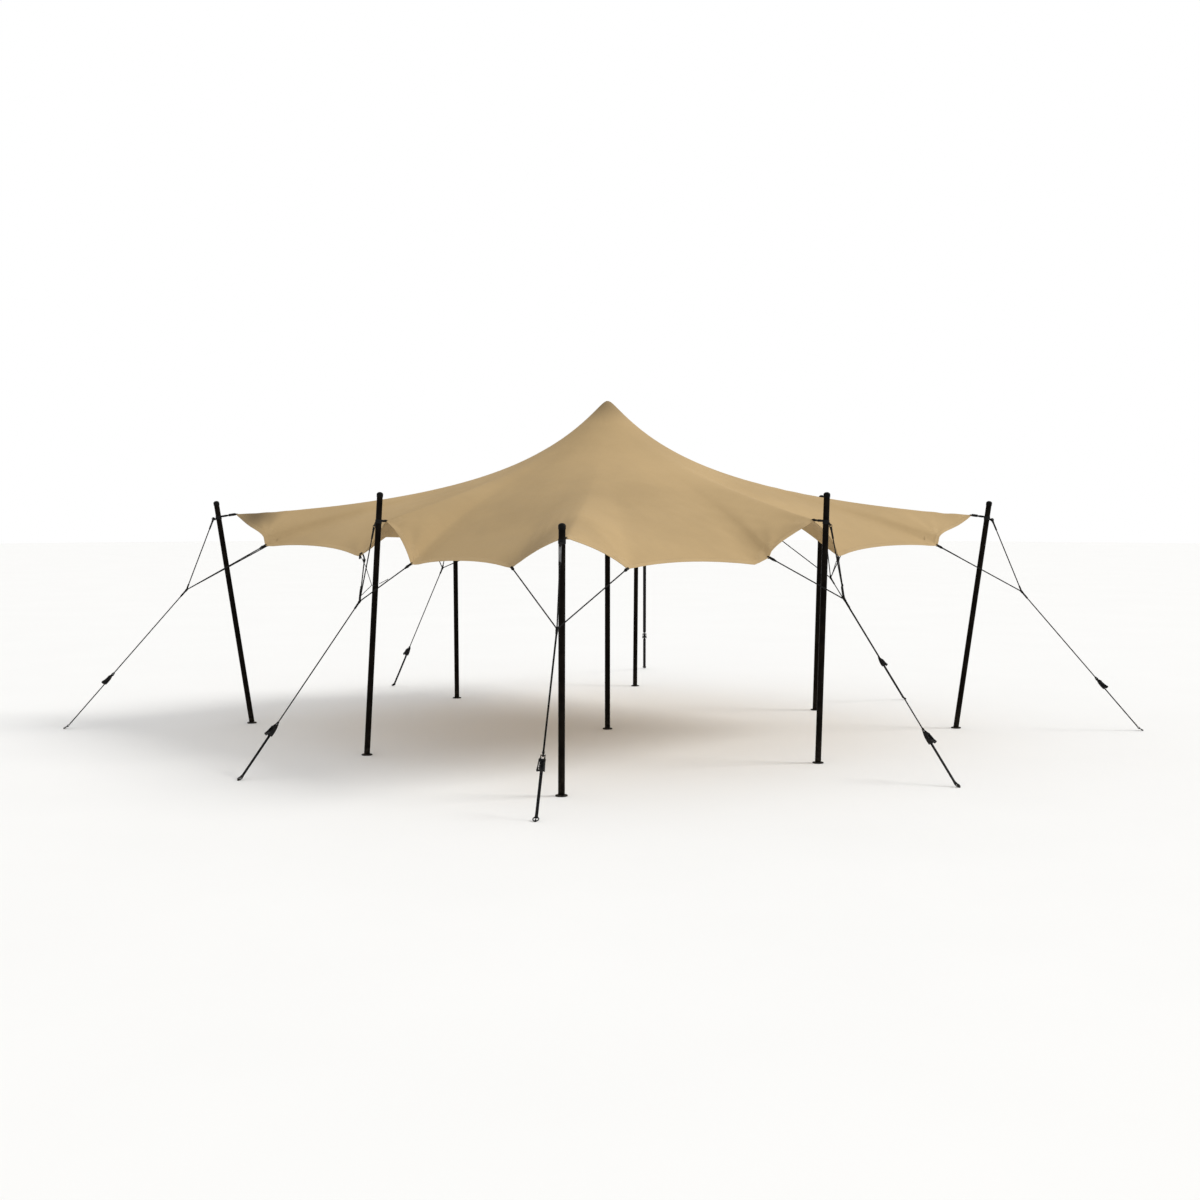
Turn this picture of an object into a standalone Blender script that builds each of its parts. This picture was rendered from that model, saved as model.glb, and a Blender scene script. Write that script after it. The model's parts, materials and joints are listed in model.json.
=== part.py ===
"""Stretch tent: a six by six metre elastic canopy over one centre pole, held out by eight leaning
perimeter poles, each with a rope bridle, a ratchet and a stake.

Metres, +Z up. The origin is on the ground under the centre pole, and X and Y run along the sides of
the canopy. The front corner is the one at (+X, -Y).
"""

import math
from dataclasses import dataclass

import bmesh
import bpy
from mathutils import Matrix, Vector

# Gaps between neighbouring solids
GAP = 0.0004

# Poles: aluminium tube with a rounded cap, standing on a ball in a round foot
POLE_RADIUS = 0.0275
POLE_SIDES = 12
POLE_BORE = 0.0245
CAP_RADIUS = 0.0310
CAP_LENGTH = 0.050
CAP_STEPS = 3
FOOT_RADIUS = 0.051
FOOT_THICKNESS = 0.010
FOOT_SIDES = 12
BALL_RADIUS = 0.0215
BALL_HEIGHT = 0.012
BORE_DEPTH = 0.0240
BALL_STEPS = 3

# Centre pole, its head and the canopy's peak
PEAK_HEIGHT = 3.640
HEAD_RADIUS = 0.055
HEAD_LENGTH = 0.085
HEAD_CLEARANCE = 0.0018

# Canopy surface: its height above SLOPE_LOW halves over the first SLOPE_RADIUS from the peak
CANOPY_THICKNESS = 0.006
SLOPE_LOW = 1.965
SLOPE_RADIUS = 1.334
PEAK_ROUNDING = 0.050
HEM_BLEND = 3.0
HEM_ARCH = 0.045
HEM_SCALLOP = 0.09
EAR_BULGE = 0.045
RINGS = 11
FIRST_RING = 0.010
EAR_STEPS = 3
SPAN_STEPS = 5

# Ropes and straps
ROPE_RADIUS = 0.0054
ROPE_SIDES = 6
STRAP_WIDTH = 0.022
STRAP_THICKNESS = 0.0036
COLLAR_WALL = 0.0124
COLLAR_WIDTH = 0.020
COLLAR_SIDES = 12
COLLAR_BORE = POLE_RADIUS + GAP
RING_OFFSET = 0.060
RING_DROP = 0.055
KNOT_RADIUS = 0.0095
TOGGLE_RADIUS = 0.0090
# How far outside the hem's upper edge a toggle ends. The cloth slopes, so its side face lies further in.
TIP_TOGGLE_GAP = 0.0001
CORNER_TOGGLE_GAP = -0.0011

# Ratchet, in its own axes: +X up along the guy, +Y along the axle, +Z away from the ground
PLATE_THICKNESS = 0.003
PLATE_SPACING = 0.034
PLATE_FRONT = 0.048
PLATE_BACK = -0.056
PLATE_BOTTOM = -0.007
PLATE_TOP = 0.022
FRONT_BAR = 0.040
BACK_BAR = -0.048
AXLE_RADIUS = 0.0065
AXLE_HEIGHT = 0.0110
AXLE_SIDES = 8
SPOOL_RADIUS = 0.0092
SPOOL_WIDTH = 0.026
BAR_RADIUS = 0.0040
BAR_SIDES = 6
HANDLE_INNER = 0.0245
HANDLE_FLARE = 0.0045
HANDLE_THICKNESS = 0.003
HANDLE_LENGTH = 0.090
HANDLE_RISE = 0.020
HANDLE_BOSS = 0.0120
AXLE_SPARE = 0.002
HANDLE_BORE = 0.0074
GRIP_RADIUS = 0.0075

# Stake: a steel rod cut off at the ground, with a ring welded to its head
STAKE_RADIUS = 0.009
STAKE_SIDES = 8
EYE_RADIUS = 0.023
EYE_TUBE = 0.0050
EYE_HEIGHT = 0.018
EYE_STEPS = 12
EYE_SIDES = 8
EYE_TILT = math.radians(30)

# Colours, linear, with roughness and metallic value
FINISHES = {
    "canopy_fabric": ((0.47, 0.36, 0.20), 0.85, 0.0),
    "pole_black": ((0.012, 0.011, 0.010), 0.38, 0.3),
    "foot_black": ((0.014, 0.013, 0.012), 0.50, 0.0),
    "rope_black": ((0.020, 0.020, 0.021), 0.80, 0.0),
    "strap_black": ((0.018, 0.018, 0.019), 0.75, 0.0),
    "ratchet_steel": ((0.030, 0.030, 0.032), 0.40, 0.9),
    "stake_steel": ((0.060, 0.058, 0.055), 0.45, 0.9),
}


@dataclass
class Station:
    """One perimeter pole with its rigging. Places are on the ground plan, heights above the ground."""

    name: str
    foot: tuple  # centre of the foot
    lean: tuple  # how far the pole's top stands out from its foot
    height: float  # top of the cap
    inward: tuple  # direction from the pole to the canopy
    tip_gap: float  # from the pole's axis to the canopy's tip
    tip_height: float
    reach: tuple  # from the tip to the hem corners on its left and right, seen from the middle
    hem_height: tuple  # height of those two corners
    knot_place: tuple  # where the bridle's ropes meet
    stake: tuple
    ratchet_out: float  # along the guy, from the stake's ring to the ratchet

    def base(self):
        return Vector((*self.foot, BALL_HEIGHT))

    def top(self):
        return Vector((self.foot[0] + self.lean[0], self.foot[1] + self.lean[1], self.height))

    def axis(self):
        return (self.top() - self.base()).normalized()

    def on_axis(self, height):
        axis = self.axis()
        return self.base() + axis * ((height - BALL_HEIGHT) / axis.z)

    def tip(self):
        inward = Vector((*self.inward, 0)).normalized()
        return self.on_axis(self.tip_height) + inward * self.tip_gap

    def outward(self):
        """Level direction from the foot to the stake."""
        return Vector((self.stake[0] - self.foot[0], self.stake[1] - self.foot[1], 0)).normalized()

    def ring(self):
        """Where the bridle leaves the collar, on the outer side of the pole."""
        return self.on_axis(self.tip_height - RING_DROP) + self.outward() * RING_OFFSET

    def knot(self):
        return Vector(self.knot_place)

    def eye(self):
        """Centre of the stake's ring."""
        return Vector((*self.stake, EYE_HEIGHT))

    def strap_end(self):
        """The strap stops on the upper rim of the stake's ring."""
        rim = Vector((-math.cos(EYE_TILT), 0, math.sin(EYE_TILT))) * EYE_RADIUS
        return self.eye() + self.outward() * rim.x + Vector((0, 0, rim.z))

    def guy(self):
        """Direction up along the guy, from the stake to the knot."""
        return (self.knot() - self.strap_end()).normalized()

    def ratchet_frame(self):
        """Places the ratchet's own axes on the guy, with the webbing at its Z = 0."""
        along = self.guy()
        across = along.cross(Vector((0, 0, 1))).normalized() * -1
        up = along.cross(across)
        turn = Matrix((along, across, up)).transposed().to_4x4()
        return Matrix.Translation(self.strap_end() + along * self.ratchet_out) @ turn


# The perimeter poles in order around the tent, anticlockwise from above
STATIONS = [
    Station("front", (2.62, -2.785), (0.27, -0.208), 2.36, (-0.85, 1.15), 0.135, 2.236,
            (0.822, 0.673), (1.956, 1.957), (2.940, -3.089, 1.485), (3.283, -3.586), 0.462),
    Station("front_right", (2.974, 0.137), (0.085, -0.006), 2.627, (-1, 0), 0.159, 2.358,
            (0.601, 0.419), (2.015, 1.999), (3.269, 0.155, 1.608), (4.601, 0.146), 0.512),
    Station("right", (2.484, 3.018), (0.231, 0.23), 2.54, (-1, -1), 0.176, 2.386,
            (0.705, 0.47), (2.064, 2.062), (2.960, 3.529, 1.536), (3.930, 4.417), 0.667),
    Station("back_right", (0.493, 2.912), (-0.008, 0.091), 2.611, (0, -1), 0.15, 2.345,
            (0.45, 0.65), (1.98, 2.125), (0.461, 3.211, 1.600), (0.585, 4.52), 0.642),
    Station("back", (-2.69, 2.821), (-0.24, 0.24), 2.50, (1, -1), 0.16, 2.34,
            (0.66, 0.66), (2.00, 2.00), (-3.094, 3.360, 1.640), (-4.229, 4.391), 0.722),
    Station("back_left", (-3.25, 0.237), (-0.02, 0.00), 2.61, (1, 0), 0.15, 2.345,
            (0.50, 0.50), (1.98, 2.065), (-3.492, 0.192, 1.673), (-4.85, 0.30), 0.642),
    Station("left", (-2.987, -2.806), (-0.267, -0.268), 2.54, (1, 1), 0.208, 2.392,
            (0.47, 0.60), (2.062, 2.049), (-3.369, -3.395, 1.536), (-3.953, -4.587), 0.702),
    Station("front_left", (-0.268, -2.953), (-0.01, 0.189), 2.631, (0, 1), 0.087, 2.341,
            (0.447, 0.49), (1.983, 1.925), (-0.254, -3.028, 1.548), (0.149, -4.556), 0.567),
]


# Scene helpers

def clear_scene():
    for obj in list(bpy.data.objects):
        bpy.data.objects.remove(obj, do_unlink=True)


def finish_of(name):
    """The material of this name, made on its first use."""
    found = bpy.data.materials.get(name)
    if found:
        return found
    colour, roughness, metallic = FINISHES[name]
    material = bpy.data.materials.new(name)
    material.use_nodes = True
    shader = material.node_tree.nodes["Principled BSDF"]
    shader.inputs["Base Color"].default_value = (*colour, 1)
    shader.inputs["Roughness"].default_value = roughness
    shader.inputs["Metallic"].default_value = metallic
    material.diffuse_color = (*colour, 1)
    return material


def add_object(name, mesh, finish, place=None, smooth=True):
    obj = bpy.data.objects.new(name, mesh)
    bpy.data.collections["stretch_tent"].objects.link(obj)
    mesh.materials.clear()
    mesh.materials.append(finish_of(finish))
    if smooth:
        mesh.shade_smooth()
        mesh.set_sharp_from_angle(angle=math.radians(35))
    if place is not None:
        obj.matrix_world = place
    return obj


def turned(name, profile, sides, finish, place):
    """A profile of (radius, height) points, from the top down, turned about Z."""
    mesh = bpy.data.meshes.new(name)
    points = [(radius, 0, height) for radius, height in profile]
    mesh.from_pydata(points, [(i, i + 1) for i in range(len(points) - 1)], [])
    obj = add_object(name, mesh, finish, place, smooth=False)
    screw = obj.modifiers.new("turn", "SCREW")
    screw.axis = "Z"
    screw.steps = sides
    screw.render_steps = sides
    screw.use_merge_vertices = True
    screw.merge_threshold = 0.0001
    screw.use_smooth_shade = True
    return obj


def along(start, end):
    """A placement with its origin at start and its +Z towards end."""
    turn = (end - start).to_track_quat("Z", "Y").to_matrix().to_4x4()
    return Matrix.Translation(start) @ turn


def add_box(shape, low, high, place=None):
    """A box between two corners, added to a bmesh."""
    low, high = Vector(low), Vector(high)
    middle = Matrix.Translation((low + high) / 2) @ Matrix.Diagonal((*(high - low), 1))
    bmesh.ops.create_cube(shape, size=1, matrix=(place or Matrix()) @ middle)


def add_rod(shape, start, end, radius, sides, end_radius=None):
    """A round bar between two points, added to a bmesh."""
    start, end = Vector(start), Vector(end)
    length = (end - start).length
    bmesh.ops.create_cone(
        shape, cap_ends=True, segments=sides, radius1=radius,
        radius2=radius if end_radius is None else end_radius, depth=length,
        matrix=along(start, end) @ Matrix.Translation((0, 0, length / 2)))


def mesh_of(name, fill):
    """A mesh made by a function that fills a bmesh."""
    shape = bmesh.new()
    fill(shape)
    mesh = bpy.data.meshes.new(name)
    shape.to_mesh(mesh)
    shape.free()
    return mesh


def fused(name, fills, finish, place=None, cuts=()):
    """One solid: the union of the shapes that the fills make, less the cuts, in the object's own axes."""
    base = add_object(name, mesh_of(name, fills[0]), finish, place)
    steps = [(fill, "UNION") for fill in fills[1:]] + [(cut, "DIFFERENCE") for cut in cuts]
    for number, (fill, operation) in enumerate(steps):
        helper_name = f"{name}_cutter_{number}"
        helper = bpy.data.objects.new(helper_name, mesh_of(helper_name, fill))
        bpy.data.collections["cutters"].objects.link(helper)
        helper.hide_render = True
        helper.display_type = "WIRE"
        if place is not None:
            helper.matrix_world = place
        boolean = base.modifiers.new(f"step_{number}", "BOOLEAN")
        boolean.operation = operation
        boolean.solver = "EXACT"
        boolean.object = helper
    return base


# Poles and feet

def arc(centre_radius, centre_height, radius, start, end, steps):
    """Profile points on an arc, by angle above the level in degrees, first to last."""
    points = []
    for step in range(steps + 1):
        angle = math.radians(start + (end - start) * step / steps)
        points.append((centre_radius + radius * math.cos(angle), centre_height + radius * math.sin(angle)))
    return points


def pole_profile(length, seat, cap):
    """Outer side of a pole from its top to its rim, then the bore that takes the foot's ball."""
    outer = []
    if cap:
        round_top = CAP_RADIUS * 0.75
        shoulder = length - round_top
        for step in range(CAP_STEPS + 1):
            angle = math.radians(90 - 90 * step / CAP_STEPS)
            outer.append((CAP_RADIUS * math.cos(angle), shoulder + round_top * math.sin(angle)))
        outer.append((CAP_RADIUS, length - CAP_LENGTH))
        outer.append((POLE_RADIUS, length - CAP_LENGTH - 0.002))
        outer[0] = (0, length)
    else:
        outer += [(0, length), (POLE_RADIUS, length)]
    return outer + [(POLE_RADIUS, seat), (POLE_BORE, seat), (POLE_BORE, BORE_DEPTH), (0, BORE_DEPTH)]


def seat_height(lean_sine):
    """How far up its own axis a leaning pole's rim starts, so that its low side just clears the foot."""
    level = math.sqrt(1 - lean_sine ** 2)
    return (FOOT_THICKNESS + GAP - BALL_HEIGHT + POLE_RADIUS * lean_sine) / level


def make_pole(name, base, top, cap=True):
    axis = (top - base).normalized()
    seat = seat_height(math.sqrt(max(0.0, 1 - axis.z ** 2)))
    profile = pole_profile((top - base).length, seat, cap)
    return turned(name, profile, POLE_SIDES, "pole_black", along(base, top))


def make_foot(name, x, y):
    """Round base plate with a ball on it, standing flat on the ground."""
    meets = math.asin((FOOT_THICKNESS - BALL_HEIGHT) / BALL_RADIUS)
    ball = arc(0, BALL_HEIGHT, BALL_RADIUS, 90, math.degrees(meets), BALL_STEPS)
    ball[0] = (0, BALL_HEIGHT + BALL_RADIUS)
    edge = [(FOOT_RADIUS, FOOT_THICKNESS), (FOOT_RADIUS, 0), (0, 0)]
    return turned(name, ball + edge, FOOT_SIDES, "foot_black", Matrix.Translation((x, y, 0)))


# Canopy

def slope_height(distance):
    """Height of the ridge lines at this distance from the middle."""
    rounded = math.hypot(distance, PEAK_ROUNDING)
    share = (SLOPE_RADIUS + PEAK_ROUNDING) / (SLOPE_RADIUS + rounded)
    return SLOPE_LOW + (PEAK_HEIGHT - SLOPE_LOW) * share


def bowed(start, end, steps, inward, up):
    """Points from start to just before end, bowed towards the middle of the tent and upwards."""
    middle = (start + end) / 2
    pull = Vector((-middle.x, -middle.y, 0)).normalized() * inward + Vector((0, 0, up))
    points = []
    for step in range(steps):
        share = step / steps
        points.append(start.lerp(end, share) + pull * (4 * share * (1 - share)))
    return points


def hem_corner(station, neighbour, side):
    """The corner of the hem beside a pole, on the line to the next pole's tip."""
    tip = station.tip()
    way = neighbour.tip() - tip
    way.z = 0
    corner = tip + way.normalized() * station.reach[side]
    corner.z = station.hem_height[side]
    return corner


def corner_toggle(station, neighbour, side):
    way = neighbour.tip() - station.tip()
    outside = Vector((-way.y, way.x, 0)) if side == 0 else Vector((way.y, -way.x, 0))
    return toggle_place(hem_corner(station, neighbour, side), outside.normalized(), CORNER_TOGGLE_GAP)


def toggle_place(point, outside, gap):
    """A toggle lies just outside the hem, level with the middle of the cloth, with a corner towards it."""
    centre = point + outside * (TOGGLE_RADIUS + gap) - Vector((0, 0, CANOPY_THICKNESS / 2))
    return Matrix.Translation(centre) @ outside.to_track_quat("Z", "Y").to_matrix().to_4x4()


def hem_points():
    """The hem all the way round: an ear up to each pole, and a shallow arch between the ears."""
    points = []
    for index, station in enumerate(STATIONS):
        before, after = STATIONS[index - 1], STATIONS[(index + 1) % len(STATIONS)]
        left = hem_corner(station, before, 0)
        right = hem_corner(station, after, 1)
        points += bowed(left, station.tip(), EAR_STEPS, 0.0, EAR_BULGE)
        points += bowed(station.tip(), right, EAR_STEPS, 0.0, EAR_BULGE)
        points += bowed(right, hem_corner(after, station, 0), SPAN_STEPS, HEM_SCALLOP, HEM_ARCH)
    return points


def canopy_point(edge, share):
    """The point at this share of the way from the peak to a point of the hem."""
    distance = math.hypot(edge.x, edge.y)
    drop = edge.z - slope_height(distance)
    height = slope_height(distance * share) + drop * share ** HEM_BLEND
    return Vector((edge.x * share, edge.y * share, height))


def canopy_shares():
    """Ring positions, closer together near the peak."""
    return [FIRST_RING ** (1 - ring / (RINGS - 1)) for ring in range(RINGS)]


def make_canopy():
    hem = hem_points()

    def fill(shape):
        peak = shape.verts.new((0, 0, PEAK_HEIGHT))
        inner = None
        for share in canopy_shares():
            ring = [shape.verts.new(canopy_point(edge, share)) for edge in hem]
            for i in range(len(ring)):
                j = (i + 1) % len(ring)
                if inner is None:
                    shape.faces.new((peak, ring[i], ring[j]))
                else:
                    shape.faces.new((inner[i], ring[i], ring[j], inner[j]))
            inner = ring

    obj = add_object("canopy", mesh_of("canopy", fill), "canopy_fabric")
    solidify = obj.modifiers.new("cloth", "SOLIDIFY")
    solidify.thickness = CANOPY_THICKNESS
    solidify.offset = -1
    return obj


def make_peak_head():
    """Rounded head on the centre pole. It follows the underside of the canopy's peak."""
    below = CANOPY_THICKNESS + HEAD_CLEARANCE
    steps = 5
    profile = []
    for step in range(steps + 1):
        radius = HEAD_RADIUS * step / steps
        profile.append((radius, slope_height(radius) - below * (1 + radius / HEAD_RADIUS)))
    bottom = PEAK_HEIGHT - below - HEAD_LENGTH
    profile += [(HEAD_RADIUS, bottom + 0.015), (POLE_RADIUS + 0.006, bottom), (0, bottom)]
    turned("peak_head", profile, FOOT_SIDES, "foot_black", Matrix())
    return bottom


# Bridles, straps, ratchets and stakes

def make_bridle(station):
    """Collar round the pole, with ropes to the canopy's tip and hem corners and down to the ratchet."""
    index = STATIONS.index(station)
    before, after = STATIONS[index - 1], STATIONS[(index + 1) % len(STATIONS)]
    left = corner_toggle(station, before, 0)
    right = corner_toggle(station, after, 1)
    tip = toggle_place(station.tip(), -Vector((*station.inward, 0)).normalized(), TIP_TOGGLE_GAP)
    collar = station.on_axis(station.tip_height)
    collar_side = collar + station.outward() * (COLLAR_BORE + COLLAR_WALL / 2)
    knot = station.knot()
    guy_end = station.ratchet_frame() @ Vector((FRONT_BAR + BAR_RADIUS + GAP, 0, 0))
    up = station.axis()

    def rope(start, end, radius=ROPE_RADIUS):
        return lambda shape: add_rod(shape, start, end, radius, ROPE_SIDES)

    def ball(place, radius):
        return lambda shape: bmesh.ops.create_icosphere(shape, subdivisions=1, radius=radius, matrix=place)

    def sleeve(half_width, radius):
        start, end = collar - up * half_width, collar + up * half_width
        return lambda shape: add_rod(shape, start, end, radius, COLLAR_SIDES)

    fills = [
        sleeve(COLLAR_WIDTH / 2, COLLAR_BORE + COLLAR_WALL),
        rope(collar, tip.translation),
        rope(collar_side, station.ring()),
        rope(station.ring(), knot),
        rope(left.translation, knot),
        rope(right.translation, knot),
        rope(knot, guy_end),
        ball(Matrix.Translation(station.ring()), KNOT_RADIUS),
        ball(Matrix.Translation(knot), KNOT_RADIUS),
        ball(left, TOGGLE_RADIUS),
        ball(right, TOGGLE_RADIUS),
        ball(tip, TOGGLE_RADIUS),
    ]
    return fused(f"bridle_{station.name}", fills, "rope_black", cuts=[sleeve(COLLAR_WIDTH, COLLAR_BORE)])


def make_ratchet(station):
    """Ratchet body: two side plates joined by a front bar, a back bar and the axle with its wound strap."""
    half = PLATE_SPACING / 2

    def plate(side):
        low = (PLATE_BACK, side * half - PLATE_THICKNESS / 2, PLATE_BOTTOM)
        high = (PLATE_FRONT, side * half + PLATE_THICKNESS / 2, PLATE_TOP)
        return lambda shape: add_box(shape, low, high)

    def bar(x, z, radius, reach, sides):
        return lambda shape: add_rod(shape, (x, -reach, z), (x, reach, z), radius, sides)

    axle_reach = HANDLE_INNER + HANDLE_THICKNESS + AXLE_SPARE
    fills = [
        plate(-1),
        plate(1),
        bar(FRONT_BAR, 0, BAR_RADIUS, half + PLATE_THICKNESS, BAR_SIDES),
        bar(BACK_BAR, AXLE_HEIGHT, BAR_RADIUS, half + PLATE_THICKNESS, BAR_SIDES),
        bar(0, AXLE_HEIGHT, AXLE_RADIUS, axle_reach, AXLE_SIDES),
        bar(0, AXLE_HEIGHT, SPOOL_RADIUS, SPOOL_WIDTH / 2, AXLE_SIDES),
    ]
    return fused(f"ratchet_{station.name}", fills, "ratchet_steel", station.ratchet_frame())


def make_handle(station):
    """Ratchet handle, closed over the strap. Its origin is on the axle, which it turns about."""
    place = station.ratchet_frame() @ Matrix.Translation((0, 0, AXLE_HEIGHT))
    grip = Vector((-HANDLE_LENGTH, 0, HANDLE_RISE))

    def arm(side):
        start = Vector((0, side * (HANDLE_INNER + HANDLE_THICKNESS / 2), 0))
        end = grip + Vector((0, side * (HANDLE_INNER + HANDLE_FLARE + HANDLE_THICKNESS / 2), 0))
        way = (end - start).normalized()
        across = Vector((0, 1, 0))
        turn = Matrix((way, across, way.cross(across))).transposed().to_4x4()
        low = (-HANDLE_BOSS, -HANDLE_THICKNESS / 2, -HANDLE_BOSS)
        high = ((end - start).length + GRIP_RADIUS * 0.6, HANDLE_THICKNESS / 2, HANDLE_BOSS * 0.8)
        return lambda shape: add_box(shape, low, high, Matrix.Translation(start) @ turn)

    side_reach = Vector((0, HANDLE_INNER + HANDLE_FLARE + HANDLE_THICKNESS, 0))
    fills = [
        arm(-1),
        arm(1),
        lambda shape: add_rod(shape, grip - side_reach, grip + side_reach, GRIP_RADIUS, AXLE_SIDES),
    ]
    cuts = [lambda shape: add_rod(shape, -2 * side_reach, 2 * side_reach, HANDLE_BORE, AXLE_SIDES)]
    return fused(f"handle_{station.name}", fills, "ratchet_steel", place, cuts)


def make_strap(station):
    """Flat webbing from under the ratchet's spool down to the stake's ring."""
    frame = station.ratchet_frame()
    end_gap = EYE_TUBE + GAP
    bottom = end_gap - station.ratchet_out
    top_face = AXLE_HEIGHT - SPOOL_RADIUS - GAP
    low = (bottom, -STRAP_WIDTH / 2, top_face - STRAP_THICKNESS)
    high = (0, STRAP_WIDTH / 2, top_face)
    mesh = mesh_of(f"strap_{station.name}", lambda shape: add_box(shape, low, high))
    return add_object(f"strap_{station.name}", mesh, "strap_black", frame, smooth=False)


def make_stake(station):
    """Rod into the ground, cut off at ground level, with a tilted ring on its head."""
    turn = Matrix((station.outward(), Vector((0, 0, 1)).cross(station.outward()), Vector((0, 0, 1))))
    place = Matrix.Translation((*station.stake, 0)) @ turn.transposed().to_4x4()
    centre = Vector((0, 0, EYE_HEIGHT))
    low_rim = centre + Vector((math.cos(EYE_TILT), 0, -math.sin(EYE_TILT))) * EYE_RADIUS

    def ring(shape):
        tilt = Matrix.Translation(centre) @ Matrix.Rotation(EYE_TILT, 4, "Y")
        rings = []
        for step in range(EYE_STEPS):
            angle = math.tau * step / EYE_STEPS
            spoke = Vector((math.cos(angle), math.sin(angle), 0))
            section = []
            for corner in range(EYE_SIDES):
                turned_by = math.tau * corner / EYE_SIDES
                offset = spoke * (EYE_RADIUS + EYE_TUBE * math.cos(turned_by))
                offset.z = EYE_TUBE * math.sin(turned_by)
                section.append(shape.verts.new(tilt @ offset))
            rings.append(section)
        for step, section in enumerate(rings):
            other = rings[(step + 1) % len(rings)]
            for i in range(EYE_SIDES):
                j = (i + 1) % EYE_SIDES
                shape.faces.new((section[i], other[i], other[j], section[j]))

    def rod(shape):
        rod_top = (low_rim.x, 0, low_rim.z + EYE_TUBE * 0.8)
        add_rod(shape, (low_rim.x, 0, 0), rod_top, STAKE_RADIUS, STAKE_SIDES)

    return fused(f"stake_{station.name}", [rod, ring], "stake_steel", place)


def build():
    clear_scene()
    for name in ("stretch_tent", "cutters"):
        collection = bpy.data.collections.new(name)
        bpy.context.scene.collection.children.link(collection)
    bpy.data.collections["cutters"].hide_render = True

    make_canopy()
    head_bottom = make_peak_head()
    make_foot("foot_centre", 0, 0)
    make_pole("pole_centre", Vector((0, 0, BALL_HEIGHT)), Vector((0, 0, head_bottom - GAP)), cap=False)
    for station in STATIONS:
        make_foot(f"foot_{station.name}", *station.foot)
        make_pole(f"pole_{station.name}", station.base(), station.top())
        make_bridle(station)
        make_ratchet(station)
        make_handle(station)
        make_strap(station)
        make_stake(station)


build()
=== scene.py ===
import json
import math
from dataclasses import dataclass

import bmesh
import bpy
import numpy as np
from mathutils import Matrix, Vector

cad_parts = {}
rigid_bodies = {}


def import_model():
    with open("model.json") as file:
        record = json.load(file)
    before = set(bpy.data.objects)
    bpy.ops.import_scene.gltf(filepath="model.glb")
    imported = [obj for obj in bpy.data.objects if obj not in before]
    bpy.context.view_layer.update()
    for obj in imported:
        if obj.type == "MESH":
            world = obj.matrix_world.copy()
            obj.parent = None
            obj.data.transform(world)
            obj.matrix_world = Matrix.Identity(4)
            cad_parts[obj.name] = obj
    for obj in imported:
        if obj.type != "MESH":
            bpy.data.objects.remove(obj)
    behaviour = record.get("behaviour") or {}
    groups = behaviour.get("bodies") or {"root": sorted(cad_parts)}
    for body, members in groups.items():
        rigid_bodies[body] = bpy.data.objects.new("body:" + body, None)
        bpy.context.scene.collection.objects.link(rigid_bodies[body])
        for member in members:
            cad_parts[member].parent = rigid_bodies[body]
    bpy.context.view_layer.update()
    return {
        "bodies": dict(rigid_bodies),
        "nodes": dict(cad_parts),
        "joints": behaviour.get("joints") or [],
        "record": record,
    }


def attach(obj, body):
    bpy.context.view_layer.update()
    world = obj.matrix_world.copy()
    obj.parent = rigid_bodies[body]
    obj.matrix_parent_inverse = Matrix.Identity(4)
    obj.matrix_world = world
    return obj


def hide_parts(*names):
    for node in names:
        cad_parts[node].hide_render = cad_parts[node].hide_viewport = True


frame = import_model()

# Sizes that the solids have too, in metres
GAP = 0.0004
POLE_BORE = 0.0245
CAP_LENGTH = 0.050
FOOT_THICKNESS = 0.010
BALL_RADIUS = 0.0215
BALL_HEIGHT = 0.012
BORE_DEPTH = 0.0240
PEAK_HEIGHT = 3.640
HEAD_RADIUS = 0.055
HEAD_LENGTH = 0.085
HEAD_DEPTH = 0.0078
SLOPE_LOW = 1.965
SLOPE_RADIUS = 1.334
PEAK_ROUNDING = 0.050
HEM_BLEND = 3.0
HEM_ARCH = 0.045
HEM_SCALLOP = 0.09
RING_OFFSET = 0.060
RING_DROP = 0.055
PLATE_SPACING = 0.034
PLATE_THICKNESS = 0.003
FRONT_BAR = 0.040
BACK_BAR = -0.048
AXLE_RADIUS = 0.0065
AXLE_HEIGHT = 0.0110
BAR_RADIUS = 0.0040
HANDLE_INNER = 0.0245
HANDLE_FLARE = 0.0045
HANDLE_THICKNESS = 0.003
HANDLE_LENGTH = 0.090
HANDLE_RISE = 0.020
HANDLE_BORE = 0.0074
GRIP_RADIUS = 0.0075
STAKE_RADIUS = 0.009
EYE_RADIUS = 0.023
EYE_TUBE = 0.0050
EYE_HEIGHT = 0.018
EYE_TILT = math.radians(30)

# Poles, caps, feet, ropes and straps are drawn a little fuller than the solids
POLE_RADIUS = 0.0295
CAP_RADIUS = 0.0328
FOOT_RADIUS = 0.054
ROPE = 0.0065
STRAP_WIDTH = 0.025
STRAP_THICKNESS = 0.0055
BROAD_STRAP_WIDTH = 0.040

# The cloth, how finely it is divided, and fittings that only the dressed tent has
CLOTH = 0.0024
EAR_STEPS = 22
SPAN_STEPS = 30
RINGS = 64
FIRST_RING = 0.004
RIDGE_SOFTNESS = 0.30
HEM_SPACING = 0.036  # about the distance between two points of the hem
FOLD_REACH = 0.16
HEM_WIDTH = 0.042
POLE_SIDES = 40
TAB_WIDTH = 0.024
TAB_THICKNESS = 0.0016
TAB_GRIP = 0.018
TAB_LENGTH = 0.036
SHORT_TAB_LENGTH = 0.014
SLING_THICKNESS = 0.0030
RING_RADIUS = 0.0165
UP = Vector((0, 0, 1))

# Rise of an ear's cut edge, and how it is shared out along it
EAR = (0.075, 0.6, 1.4)
# How far the hem hangs beyond a tie, how soon it recovers, where it is lowest and how round it is there
LOBE = (0.018, 9.0, 0.07, 0.8)


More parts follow.
